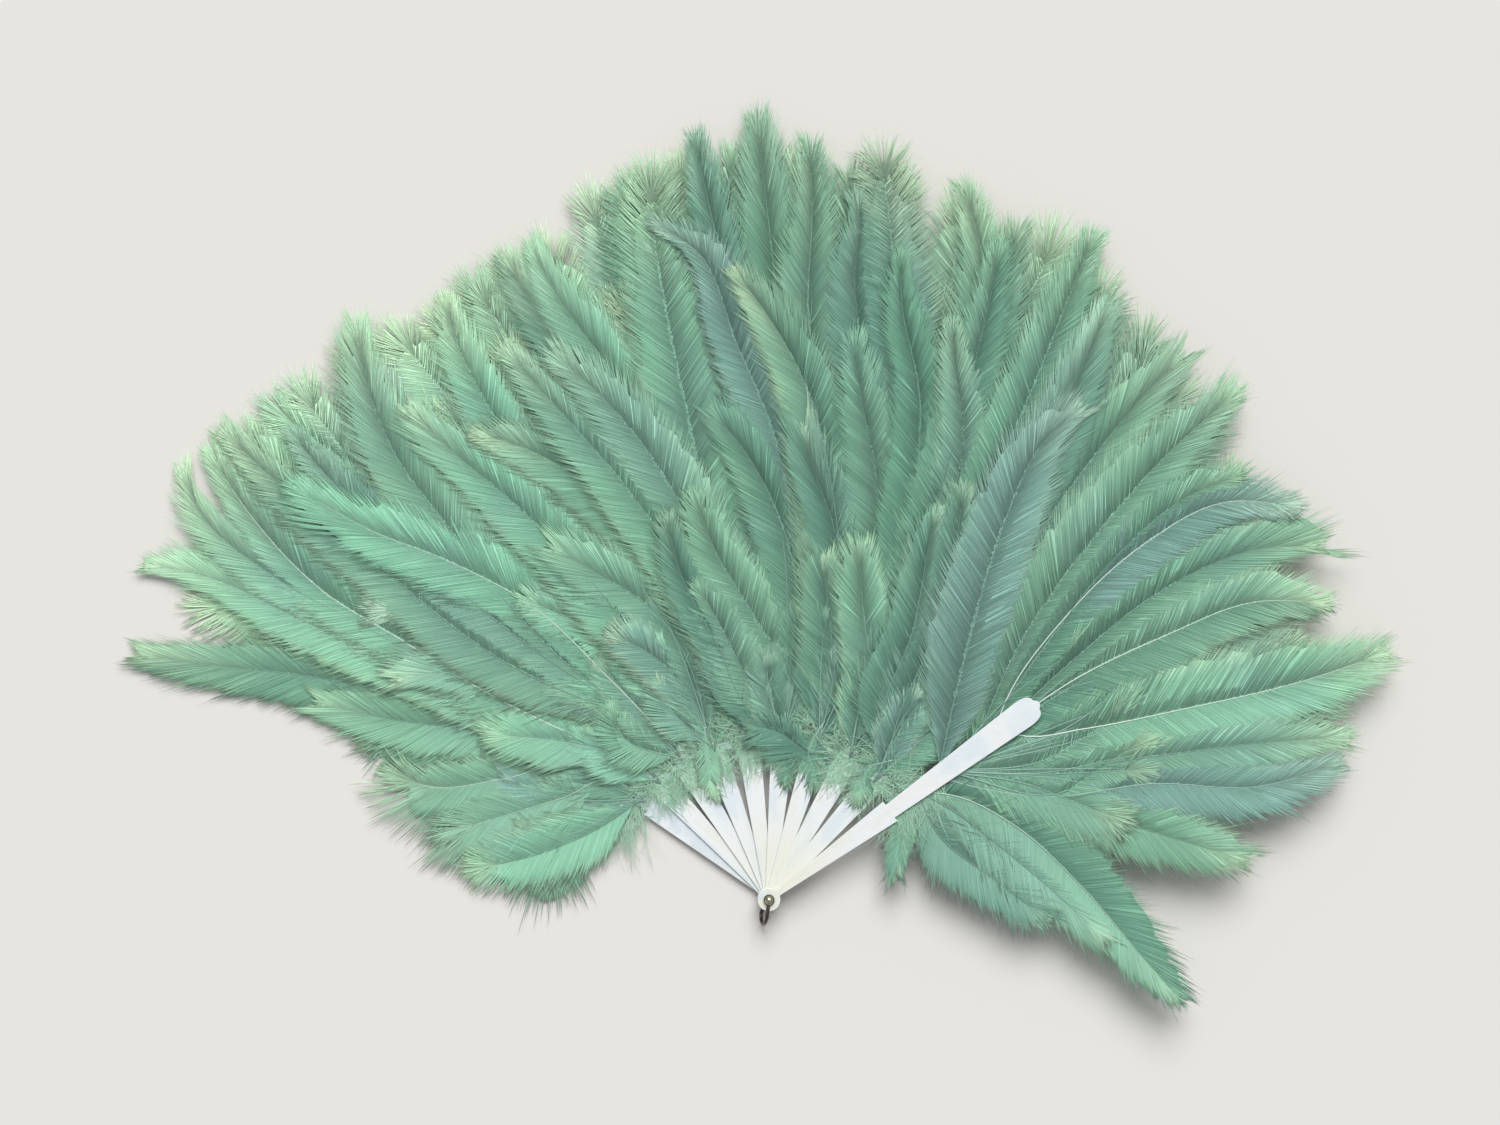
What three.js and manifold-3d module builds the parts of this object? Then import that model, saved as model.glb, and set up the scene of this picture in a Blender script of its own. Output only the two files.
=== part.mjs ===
// Folding plume fan: pearl sticks turn on one rivet, dyed plumes are glued to their ribs,
// short silk ribbons link neighbouring ribs and a hanging loop swings on the rivet.
// Millimetres. The open fan lies flat with its front up: +Z out of the front, +X to the right.
// The origin is on the rivet axis, at the flat rear face of the rivet.
import * as THREE from "three";
import { mergeVertices } from "three/addons/utils/BufferGeometryUtils.js";
import Module from "manifold-3d";

const wasm = await Module();
wasm.setup();

// Direction of each stick in degrees from +X, rear guard first, front guard last
const stickAngles = [142, 133.5, 122, 110.3, 97.5, 84.9, 72.7, 60.6, 48.5, 36.4];

// Sticks in plan, measured along the stick from the rivet axis
const headRadius = 6.9;
const neckDistance = 9;
const shoulderDistance = 90;
const innerNeckHalfWidth = 2.8;
const innerShoulderHalfWidth = 6.9;
const guardNeckHalfWidth = 1.9;
const guardShoulderHalfWidth = 7.2;
const ribRootHalfWidth = 4;
const ribEndHalfWidth = 2.4;
const ribLength = 92;
const ribSplice = 6;
const guardLength = 200;
const extensionRootHalfWidth = 4.4;
const extensionFlareHalfWidth = 8.4;
const tipLobeDepth = 12;
const tipNotchDepth = 2.2;
const tipNotchHalfWidth = 3.2;

// Thicknesses
const innerThickness = 0.9;
const guardThickness = 1.8;
const ribThickness = 0.5;
const frontExtensionThickness = 1.5;
const edgeChamfer = 0.22;
const layerGap = 0.25;
const frontGuardGap = 0.35;

// Rivet, washers and loop
const shankRadius = 1.3;
const stickBoreClearance = 0.15;
const metalBoreClearance = 0.2;
const tailRadius = 2.6;
const tailHeight = 0.7;
const domeRadius = 1.7;
const domeHeight = 1.1;
const washerRadius = 2.75;
const washerThickness = 0.6;
const stackGap = 0.2;
const eyeRadius = 3.3;
const eyeThickness = 1.2;
const loopReach = 16.8;
const loopArmLength = 9.4;
const loopHalfWidth = 1.1;
const loopBowHalfThickness = 1;
const loopSideStep = 3.4;
const loopAngle = -97; // degrees from +X

// Heap of plumes: how the layers open out from the rivet and droop towards the tips
const layerGrowth = 0.006; // per millimetre of distance from the rivet
const tipClearance = 0.3;
const plumeReach = 480;
const pitchAtTips = 1.3;
const tipDroop = 0.006;

// Plumes
const nearestRoot = 10; // of the plumes, from the shoulder
const plumeThicknessShare = 0.045;
const quillHalfWidth = 0.7;
const quillShare = 0.06;
const barbSweep = 0.55;
const barbNotch = 0.84;
const vaneFullness = 4;
const plumeStations = 22;
const innerSlots = [0.4, 0.56, 0.72, 0.88];
const frontSlots = [0.2, 0.42, 0.64, 0.86];
const frontPlumeRoom = 1.45; // under the front guard at the roots of its plumes

// Link ribbons
const ribbonSetback = 2.5; // from the shoulder
const ribbonWidth = 5;
const ribbonThickness = 0.3;
const ribbonClearance = 0.15;
const ribbonStations = 6;

// Round parts
const roundSegments = 20;
const cornerSegments = 8;
const loopStations = 18;
const loopSides = 10;
const weldDistance = 1e-4;

// Each plume: row, slot in its layer, distance of the root from the shoulder, inset of the tip from the
// circle that the plumes reach, lean of the tip from the stick in degrees, sideways bow and half-width
// of the vane. Lean and bow are positive to the left.
const plumeRows = [
  [
    { row: "long", slot: 0, root: 20, inset: 67, lean: 17, bow: -24, halfWidth: 30 },
    { row: "mid", slot: 1, root: 16, inset: 176, lean: 15, bow: -10, halfWidth: 29 },
    { row: "short", slot: 2, root: 13, inset: 238, lean: 20, bow: 8, halfWidth: 28 },
    { row: "low", slot: 3, root: 10, inset: 275, lean: 29, bow: 10, halfWidth: 30 },
  ],
  [
    { row: "long", slot: 0, root: 22, inset: 47, lean: 18.7, bow: -8, halfWidth: 30 },
    { row: "crest", slot: 1, root: 18, inset: 47, lean: 7.8, bow: 50, halfWidth: 30 },
    { row: "mid", slot: 2, root: 14, inset: 183, lean: 11, bow: -45, halfWidth: 30 },
    { row: "short", slot: 3, root: 10, inset: 281, lean: 17, bow: -10, halfWidth: 28 },
  ],
  [
    { row: "long", slot: 0, root: 22, inset: 43, lean: 17.5, bow: 20, halfWidth: 30 },
    { row: "crest", slot: 1, root: 18, inset: 52, lean: 3.4, bow: 45, halfWidth: 31 },
    { row: "mid", slot: 2, root: 14, inset: 100, lean: 17, bow: -45, halfWidth: 32 },
    { row: "short", slot: 3, root: 10, inset: 238, lean: 8.4, bow: -35, halfWidth: 29 },
  ],
  [
    { row: "long", slot: 0, root: 20, inset: 62, lean: 8, bow: 25, halfWidth: 32 },
    { row: "mid", slot: 1, root: 15, inset: 109, lean: 16, bow: -12, halfWidth: 31 },
    { row: "short", slot: 2, root: 10, inset: 225, lean: 12, bow: -40, halfWidth: 30 },
  ],
  [
    { row: "long", slot: 0, root: 22, inset: 60, lean: 14.8, bow: 15, halfWidth: 31 },
    { row: "crest", slot: 1, root: 16, inset: 44, lean: 2, bow: 15, halfWidth: 32 },
    { row: "mid", slot: 2, root: 10, inset: 126, lean: 14.6, bow: -40, halfWidth: 31 },
  ],
  [
    { row: "long", slot: 0, root: 22, inset: 10, lean: 6, bow: -12, halfWidth: 31 },
    { row: "crest", slot: 1, root: 16, inset: 18, lean: 10.7, bow: -10, halfWidth: 28 },
    { row: "mid", slot: 2, root: 10, inset: 178, lean: 13, bow: -18, halfWidth: 30 },
  ],
  [
    { row: "long", slot: 0, root: 22, inset: 26, lean: 12, bow: -30, halfWidth: 30 },
    { row: "crest", slot: 1, root: 18, inset: 34, lean: 9, bow: -10, halfWidth: 32 },
    { row: "mid", slot: 2, root: 14, inset: 134, lean: 9, bow: -50, halfWidth: 31 },
    { row: "short", slot: 3, root: 10, inset: 264, lean: 9, bow: -14, halfWidth: 27 },
  ],
  [
    { row: "long", slot: 0, root: 22, inset: 33, lean: 14, bow: -15, halfWidth: 31 },
    { row: "crest", slot: 1, root: 16, inset: 50, lean: 9, bow: -15, halfWidth: 31 },
    { row: "mid", slot: 2, root: 10, inset: 109, lean: 12, bow: -50, halfWidth: 29 },
  ],
  [
    { row: "long", slot: 0, root: 22, inset: 30, lean: 15.5, bow: 5, halfWidth: 29 },
    { row: "crest", slot: 1, root: 16, inset: 63, lean: 2, bow: 12, halfWidth: 33 },
    { row: "mid", slot: 2, root: 10, inset: 201, lean: 17, bow: -20, halfWidth: 28 },
  ],
  [
    { row: "left", slot: 3, root: 38, inset: 128, lean: 21, bow: 42, halfWidth: 33 },
    { row: "upper", slot: 2, root: 60, inset: 87, lean: 0, bow: 65, halfWidth: 31 },
    { row: "middle", slot: 1, root: 75, inset: 82, lean: -4, bow: 46, halfWidth: 30 },
    { row: "long", slot: 0, root: 68, inset: 78, lean: -14.7, bow: -15, halfWidth: 32 },
    { row: "lower", slot: 1, root: 32, inset: 121, lean: -22.5, bow: -25, halfWidth: 31 },
    { row: "loose", slot: 2, root: 18, inset: 219, lean: -51, bow: 38, halfWidth: 27 },
  ],
];

const lastStick = stickAngles.length - 1;
const plumeRoot = shoulderDistance + nearestRoot;
const pearl = { color: 0xeeeeea, roughness: 0.22, metalness: 0 };
const plumeGreen = { color: 0x86bfa4, roughness: 0.85, metalness: 0 };
const ribbonSilk = { color: 0xb7d3c2, roughness: 0.7, metalness: 0 };
const rivetMetal = { color: 0xa79c74, roughness: 0.3, metalness: 1 };
const loopMetal = { color: 0x4a3d35, roughness: 0.35, metalness: 1 };

// Closed solid and mesh helpers
function solidOf(geometry) {
  const bare = geometry.clone();
  bare.deleteAttribute("normal");
  bare.deleteAttribute("uv");
  const merged = mergeVertices(bare, weldDistance);
  const vertProperties = merged.getAttribute("position").array;
  const triVerts = new Uint32Array(merged.index.array);
  return new wasm.Manifold(new wasm.Mesh({ numProp: 3, vertProperties, triVerts }));
}

function geometryOf(solid) {
  const mesh = solid.getMesh();
  const geometry = new THREE.BufferGeometry();
  geometry.setAttribute("position", new THREE.BufferAttribute(mesh.vertProperties, 3));
  geometry.setIndex(new THREE.BufferAttribute(mesh.triVerts, 1));
  return geometry;
}

function named(name, geometry, look) {
  const mesh = new THREE.Mesh(geometry, new THREE.MeshStandardMaterial(look));
  mesh.name = name;
  return mesh;
}

// Skin over a row of rings with equal point counts; each end is a flat cap or, last, a point.
// Both halves of a ring split their quads the same way, so that thin skins stay apart.
function skinned(rings, point) {
  const sides = rings[0].length;
  const corners = rings.flat();
  const faces = [];
  for (let k = 0; k + 1 < rings.length; k++) {
    for (let s = 0; s < sides; s++) {
      const a = k * sides + s;
      const b = k * sides + ((s + 1) % sides);
      if (s < sides / 2) {
        faces.push(a, b, b + sides, a, b + sides, a + sides);
      } else {
        faces.push(a, b, a + sides, b, b + sides, a + sides);
      }
    }
  }
  for (let s = 1; s + 1 < sides; s++) {
    faces.push(0, s + 1, s);
  }
  const end = (rings.length - 1) * sides;
  if (point) {
    corners.push(point);
    for (let s = 0; s < sides; s++) {
      faces.push(end + s, end + ((s + 1) % sides), corners.length - 1);
    }
  } else {
    for (let s = 1; s + 1 < sides; s++) {
      faces.push(end, end + s, end + s + 1);
    }
  }
  const geometry = new THREE.BufferGeometry().setFromPoints(corners);
  geometry.setIndex(faces);
  return geometry;
}

// Round part turned about Z from a profile of [radius, height] pairs
function turned(profile) {
  const points = profile.map(([radius, height]) => new THREE.Vector2(radius, height));
  return new THREE.LatheGeometry(points, roundSegments).rotateX(Math.PI / 2);
}

// Layer heights above the table. They depend only on the distance from the rivet,
// so a layer never cuts another one while the fan folds.
function layerPitch(distance) {
  const pitchAtHead = innerThickness + layerGap;
  if (distance <= guardLength) {
    return pitchAtHead + layerGrowth * distance;
  }
  const span = plumeReach - guardLength;
  const t = (distance - guardLength) / span;
  const crest = pitchAtHead + layerGrowth * guardLength;
  const rise = layerGrowth * span * t * (1 - t) ** 2;
  const fall = tipDroop * span * t * t * (1 - t);
  const blend = t * t * (3 - 2 * t);
  return THREE.MathUtils.lerp(crest, pitchAtTips, blend) + rise + fall;
}

const rearWasherBase = tailHeight + stackGap;
const rearEyeBase = rearWasherBase + washerThickness + stackGap;
const rearGuardBase = rearEyeBase + eyeThickness + stackGap;
const guardExtra = guardThickness - innerThickness;

function stickUnderside(index, distance) {
  const settle = Math.min(distance / guardLength, 1);
  const rest = THREE.MathUtils.lerp(rearGuardBase, tipClearance, settle);
  return rest + (index > 0 ? guardExtra : 0) + index * layerPitch(distance);
}

function plumeBed(index, distance) {
  return stickUnderside(index, distance) + (index > 0 ? 0 : guardExtra);
}

// The front guard lies over its own plumes, so it rises faster than its layer
const frontRelief = guardThickness - frontExtensionThickness;
const frontBase = stickUnderside(lastStick, 0) + frontGuardGap - layerGap;
const frontSeat = stickUnderside(lastStick, plumeRoot) + frontPlumeRoom - frontRelief;
const frontRise = (frontSeat - frontBase) / plumeRoot;

function guardUnderside(distance) {
  return frontBase + frontRise * distance;
}

// Height that the plumes of one stick share at a distance from the rivet
function plumeRoom(index, distance) {
  if (index < lastStick) {
    return layerPitch(distance);
  }
  const covered = Math.min(distance, guardLength);
  const room = guardUnderside(covered) + frontRelief - plumeBed(index, covered);
  return (room * layerPitch(distance)) / layerPitch(covered);
}

// Sticks
function bladeShape(neckHalfWidth, shoulderHalfWidth) {
  const meet = Math.asin(neckHalfWidth / headRadius);
  const shape = new THREE.Shape();
  shape.moveTo(shoulderDistance, shoulderHalfWidth);
  shape.lineTo(neckDistance, neckHalfWidth);
  shape.absarc(0, 0, headRadius, meet, 2 * Math.PI - meet, false);
  shape.lineTo(neckDistance, -neckHalfWidth);
  shape.lineTo(shoulderDistance, -shoulderHalfWidth);
  const bore = new THREE.Path();
  bore.absarc(0, 0, shankRadius + stickBoreClearance, 0, 2 * Math.PI, false);
  shape.holes.push(bore);
  return shape;
}

function ribShape() {
  const start = shoulderDistance - ribSplice;
  const end = shoulderDistance + ribLength;
  const shape = new THREE.Shape();
  shape.moveTo(start, -ribRootHalfWidth);
  shape.lineTo(end, -ribEndHalfWidth);
  shape.absarc(end, 0, ribEndHalfWidth, -Math.PI / 2, Math.PI / 2, false);
  shape.lineTo(start, ribRootHalfWidth);
  return shape;
}

// Guard extension: flares to a tip of three lobes with a notch between each pair
function extensionShape() {
  const start = shoulderDistance - ribSplice;
  const flare = guardLength - tipLobeDepth;
  const notch = guardLength - tipNotchDepth;
  const shape = new THREE.Shape();
  shape.moveTo(start, -extensionRootHalfWidth);
  shape.lineTo(flare, -extensionFlareHalfWidth);
  shape.quadraticCurveTo(notch, -extensionFlareHalfWidth, notch, -tipNotchHalfWidth);
  shape.quadraticCurveTo(guardLength + tipNotchDepth, 0, notch, tipNotchHalfWidth);
  shape.quadraticCurveTo(notch, extensionFlareHalfWidth, flare, extensionFlareHalfWidth);
  shape.lineTo(start, extensionRootHalfWidth);
  return shape;
}

function plate(shape, thickness) {
  const geometry = new THREE.ExtrudeGeometry(shape, {
    depth: thickness - 2 * edgeChamfer,
    bevelThickness: edgeChamfer,
    bevelSize: edgeChamfer,
    bevelOffset: -edgeChamfer,
    bevelSegments: 1,
    curveSegments: cornerSegments,
  });
  return geometry.translate(0, 0, edgeChamfer);
}

function innerStick() {
  const blade = plate(bladeShape(innerNeckHalfWidth, innerShoulderHalfWidth), innerThickness);
  return geometryOf(solidOf(blade).add(solidOf(plate(ribShape(), ribThickness))));
}

// The rear guard is relieved on its front face and the front guard on its rear face,
// where the plumes are glued
function guardStick(extensionBase, extensionThickness) {
  const blade = plate(bladeShape(guardNeckHalfWidth, guardShoulderHalfWidth), guardThickness);
  const extension = plate(extensionShape(), extensionThickness).translate(0, 0, extensionBase);
  return geometryOf(solidOf(blade).add(solidOf(extension)));
}

function stickGeometry(index) {
  if (index === 0) {
    return guardStick(0, guardExtra + ribThickness);
  }
  if (index === lastStick) {
    return guardStick(frontRelief, frontExtensionThickness);
  }
  return innerStick();
}

function stickName(index) {
  if (index === 0) {
    return "rear_guard";
  }
  return index === lastStick ? "front_guard" : `stick_${index}`;
}

function stickMesh(index) {
  const mesh = named(stickName(index), stickGeometry(index), pearl);
  const underside = (r) => (index === lastStick ? guardUnderside(r) : stickUnderside(index, r));
  mesh.position.z = underside(0);
  mesh.rotation.y = -Math.atan((underside(guardLength) - underside(0)) / guardLength);
  return mesh;
}

// Plume: a lens-section vane along a bowed quill, with its barbs swept forward and their ends notched
function vaneHalfWidth(t, halfWidth) {
  if (t <= quillShare) {
    return quillHalfWidth;
  }
  const u = (t - quillShare) / (1 - quillShare);
  const widest = (vaneFullness + 1) ** (-1 / vaneFullness);
  const spread = (at) => Math.sqrt(at * (1 - at ** vaneFullness));
  return Math.max(quillHalfWidth, (halfWidth * spread(u)) / spread(widest));
}

function plumeGeometry(index, plume) {
  const slots = index === lastStick ? frontSlots : innerSlots;
  const level = slots[plume.slot];
  const lean = THREE.MathUtils.degToRad(plume.lean);
  const root = new THREE.Vector2(shoulderDistance + plume.root, 0);
  const reach = plumeReach - plume.inset;
  const tip = new THREE.Vector2(Math.cos(lean), Math.sin(lean)).multiplyScalar(reach);
  const along = tip.clone().sub(root);
  const left = new THREE.Vector2(-along.y, along.x).normalize();
  const middle = root.clone().lerp(tip, 0.5).addScaledVector(left, plume.bow);
  const quill = new THREE.QuadraticBezierCurve(root, middle, tip);
  const placed = (plan, lift) => {
    const distance = plan.length();
    const share = level + lift * plumeThicknessShare;
    const height = plumeBed(index, distance) + share * plumeRoom(index, distance);
    return new THREE.Vector3(plan.x, plan.y, height);
  };
  const rings = [];
  for (let k = 0; k < plumeStations; k++) {
    const t = k / plumeStations;
    const centre = quill.getPoint(t);
    const forward = quill.getTangent(t);
    const side = new THREE.Vector2(-forward.y, forward.x);
    const notch = k % 2 === 0 ? barbNotch : 1;
    const width = notch * vaneHalfWidth(t, plume.halfWidth);
    const sweep = forward.multiplyScalar(barbSweep * width);
    const leftEdge = centre.clone().addScaledVector(side, width).add(sweep);
    const rightEdge = centre.clone().addScaledVector(side, -width).add(sweep);
    rings.push([placed(leftEdge, 0), placed(centre, 1), placed(rightEdge, 0), placed(centre, -1)]);
  }
  return skinned(rings, placed(tip, 0));
}

// Link ribbon: from the front of one rib round to the back of the next
function ribbonGeometry(index) {
  const turn = THREE.MathUtils.degToRad(stickAngles[index + 1] - stickAngles[index]);
  const next = index + 1 === lastStick ? guardUnderside : (r) => stickUnderside(index + 1, r);
  const lowEnd = (r) => plumeBed(index, r) + ribThickness + ribbonClearance;
  const highEnd = (r) => next(r) - ribbonClearance - ribbonThickness;
  const rings = [];
  for (let k = 0; k <= ribbonStations; k++) {
    const t = k / ribbonStations;
    const direction = new THREE.Vector2(Math.cos(turn * t), Math.sin(turn * t));
    const corner = (distance, lift) => {
      const height = THREE.MathUtils.lerp(lowEnd(distance), highEnd(distance), t) + lift;
      return new THREE.Vector3(direction.x * distance, direction.y * distance, height);
    };
    const inner = shoulderDistance + ribbonSetback;
    const outer = inner + ribbonWidth;
    rings.push([
      corner(inner, 0),
      corner(outer, 0),
      corner(outer, ribbonThickness),
      corner(inner, ribbonThickness),
    ]);
  }
  return skinned(rings);
}

// Rivet stack above the front guard
const headRise = frontRise * headRadius;
const frontEyeBase = guardUnderside(0) + guardThickness + headRise + stackGap;
const frontWasherBase = frontEyeBase + eyeThickness + stackGap;
const domeBase = frontWasherBase + washerThickness + stackGap;
const metalBore = shankRadius + metalBoreClearance;

function rivetPin() {
  const profile = [
    [0, 0],
    [tailRadius - edgeChamfer, 0],
    [tailRadius, edgeChamfer],
    [tailRadius, tailHeight],
    [shankRadius, tailHeight],
    [shankRadius, domeBase],
    [domeRadius, domeBase],
  ];
  for (let k = 1; k <= cornerSegments; k++) {
    const turn = (k / cornerSegments) * (Math.PI / 2);
    const radius = k === cornerSegments ? 0 : domeRadius * Math.cos(turn);
    profile.push([radius, domeBase + domeHeight * Math.sin(turn)]);
  }
  return turned(profile);
}

function ring(innerRadius, outerRadius, base, thickness) {
  const profile = [
    [innerRadius, base],
    [outerRadius - edgeChamfer, base],
    [outerRadius, base + edgeChamfer],
    [outerRadius, base + thickness - edgeChamfer],
    [outerRadius - edgeChamfer, base + thickness],
    [innerRadius, base + thickness],
    [innerRadius, base],
  ];
  return turned(profile);
}

// Hanging loop: an eye behind and before the sticks, joined by a flattened bar bent to a U.
// The bar is thin beside the eyes, so that it swings clear of the stick heads.
function loopGeometry() {
  const rearMiddle = rearEyeBase + eyeThickness / 2;
  const frontMiddle = frontEyeBase + eyeThickness / 2;
  const bowRadius = (frontMiddle - rearMiddle) / 2;
  const bowDepth = loopReach - loopArmLength - loopBowHalfThickness;
  const armStart = (metalBore + eyeRadius) / 2;
  const path = [new THREE.Vector3(0, -armStart, frontMiddle)];
  const turns = loopStations - 2;
  for (let k = 0; k <= turns; k++) {
    const turn = (k / turns) * Math.PI;
    const across = (-loopSideStep * (1 - Math.cos(turn))) / 2;
    const down = -loopArmLength - bowDepth * Math.sin(turn);
    const height = rearMiddle + bowRadius * (1 + Math.cos(turn));
    path.push(new THREE.Vector3(across, down, height));
  }
  path.push(new THREE.Vector3(0, -armStart, rearMiddle));
  const rings = path.map((centre, k) => {
    const before = path[Math.max(k - 1, 0)];
    const after = path[Math.min(k + 1, path.length - 1)];
    const along = after.clone().sub(before).normalize();
    const wide = new THREE.Vector3(1, 0, 0).addScaledVector(along, -along.x).normalize();
    const thin = along.clone().cross(wide);
    const swell = Math.sin((k / (path.length - 1)) * Math.PI);
    const halfThickness = THREE.MathUtils.lerp(eyeThickness / 2, loopBowHalfThickness, swell);
    const points = [];
    for (let s = 0; s < loopSides; s++) {
      const turn = (s / loopSides) * 2 * Math.PI;
      const point = centre.clone().addScaledVector(wide, loopHalfWidth * Math.cos(turn));
      points.push(point.addScaledVector(thin, halfThickness * Math.sin(turn)));
    }
    return points;
  });
  const bar = solidOf(skinned(rings));
  const rearEye = solidOf(ring(metalBore, eyeRadius, rearEyeBase, eyeThickness));
  const frontEye = solidOf(ring(metalBore, eyeRadius, frontEyeBase, eyeThickness));
  return geometryOf(bar.add(rearEye).add(frontEye));
}

// Assembly
const fan = new THREE.Group();
stickAngles.forEach((angle, index) => {
  const stick = new THREE.Group();
  stick.rotation.z = THREE.MathUtils.degToRad(angle);
  stick.add(stickMesh(index));
  plumeRows[index].forEach((plume) => {
    const name = `${stickName(index)}_${plume.row}_plume`;
    stick.add(named(name, plumeGeometry(index, plume), plumeGreen));
  });
  if (index < lastStick) {
    stick.add(named(`link_ribbon_${index + 1}`, ribbonGeometry(index), ribbonSilk));
  }
  fan.add(stick);
});

fan.add(named("rivet_pin", rivetPin(), rivetMetal));
fan.add(named("rear_washer", ring(metalBore, washerRadius, rearWasherBase, washerThickness), rivetMetal));
fan.add(named("front_washer", ring(metalBore, washerRadius, frontWasherBase, washerThickness), rivetMetal));
const loop = named("hanging_loop", loopGeometry(), loopMetal);
loop.rotation.z = THREE.MathUtils.degToRad(loopAngle + 90);
fan.add(loop);

export default fan;
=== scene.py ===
import math

import bpy
import numpy as np
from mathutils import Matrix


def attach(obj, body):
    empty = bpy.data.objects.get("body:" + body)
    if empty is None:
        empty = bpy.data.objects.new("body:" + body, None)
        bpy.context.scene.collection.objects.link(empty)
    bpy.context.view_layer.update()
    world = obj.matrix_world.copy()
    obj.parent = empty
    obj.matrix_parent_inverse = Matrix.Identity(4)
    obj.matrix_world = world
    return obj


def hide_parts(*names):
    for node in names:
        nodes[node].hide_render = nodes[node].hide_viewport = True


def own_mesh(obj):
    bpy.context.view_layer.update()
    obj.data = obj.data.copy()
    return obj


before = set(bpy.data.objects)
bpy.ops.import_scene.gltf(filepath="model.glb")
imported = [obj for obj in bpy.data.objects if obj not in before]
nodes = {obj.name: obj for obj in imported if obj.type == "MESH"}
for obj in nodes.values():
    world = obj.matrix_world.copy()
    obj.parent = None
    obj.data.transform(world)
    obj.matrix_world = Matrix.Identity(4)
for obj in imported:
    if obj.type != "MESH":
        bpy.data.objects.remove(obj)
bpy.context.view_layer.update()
mm = 0.001
print("frame", len(nodes), "nodes")

# Open fan in mm: stick directions in degrees, and how the plumes' layers rise from the rivet and droop
fan = {
    "angles": [142, 133.5, 122, 110.3, 97.5, 84.9, 72.7, 60.6, 48.5, 36.4],
    "bodies": ["rear_guard"] + [f"stick_{k}" for k in range(1, 9)] + ["front_guard"],
    "rearBase": 3.1, "tipClearance": 0.3, "guardExtra": 0.9, "headPitch": 1.15, "growth": 0.006,
    "guardLength": 200, "reach": 480, "tipPitch": 1.3, "shoulder": 90, "ribThickness": 0.5,
}
lastStick = len(fan["angles"]) - 1
# Gap under the front guard: its height at a distance from the rivet, its growth per mm, and the least
frontGap = {"height": 1.45, "at": 100, "growth": 0.0105, "least": 0.8}

# Photograph, seen straight down: pixels, given as x and y in turn, become millimetres from the rivet
photoScale = {"pivot": (769, 899), "mmPerPixel": 0.6, "width": 1500, "centre": (750, 562.5)}


def fromPhoto(pixels):
    offset = np.reshape(pixels, (-1, 2)) - np.array(photoScale["pivot"])
    return offset * photoScale["mmPerPixel"] * np.array([1, -1])


def smooth(low, high, value):
    t = np.clip((value - low) / (high - low), 0, 1)
    return t * t * (3 - 2 * t)


def between(ends, share):
    return ends[0] + (ends[1] - ends[0]) * share


def steps(n):
    return np.linspace(0, 1, n)


def unit(vectors):
    return vectors / np.maximum(np.linalg.norm(vectors, axis=-1, keepdims=True), 1e-9)


def wayOf(turn):
    return np.stack([np.cos(turn), np.sin(turn)], -1)


def leftOf(way):
    return np.stack([-way[..., 1], way[..., 0]], -1)


def distanceOf(plan):
    return np.hypot(plan[..., 0], plan[..., 1])


def lifted(plan, height):
    return np.concatenate([plan, height[..., None]], -1)


def addObject(name, data):
    made = bpy.data.objects.new(name, data)
    bpy.context.scene.collection.objects.link(made)
    return made


# Pitch of the layers: grows evenly to the guard's end, then eases down to the plume tips
def layerPitch(distance):
    guard, growth = fan["guardLength"], fan["growth"]
    near = fan["headPitch"] + growth * np.minimum(distance, guard)
    span = fan["reach"] - guard
    t = np.clip((distance - guard) / span, 0, 1)
    return between((near, fan["tipPitch"]), smooth(0, 1, t)) + growth * span * t * (1 - t)


# Underside of a stick's plumes at a distance from the rivet
def layerHeight(stick, distance):
    settle = np.minimum(distance / fan["guardLength"], 1)
    rest = between((fan["rearBase"], fan["tipClearance"]), settle)
    return rest + fan["guardExtra"] + stick * layerPitch(distance)


# Height that the plumes of a stick share: one pitch, or on the front guard the gap under it
def layerRoom(stick, distance):
    if stick < lastStick:
        return layerPitch(distance)
    covered = np.minimum(distance, fan["guardLength"])
    room = frontGap["height"] + frontGap["growth"] * (covered - frontGap["at"])
    return np.maximum(room, frontGap["least"]) * layerPitch(distance) / layerPitch(covered)


def stickPoint(stick, distance):
    return wayOf(math.radians(fan["angles"][stick])) * distance


# Bake map: webs and quills lie side by side in a band, strands in a square above it, with room between
bakeMap = {"band": 0.3, "strandMargin": 0.1, "sheetMargin": 0.05, "sheetRows": (0.02, 0.96)}


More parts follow.
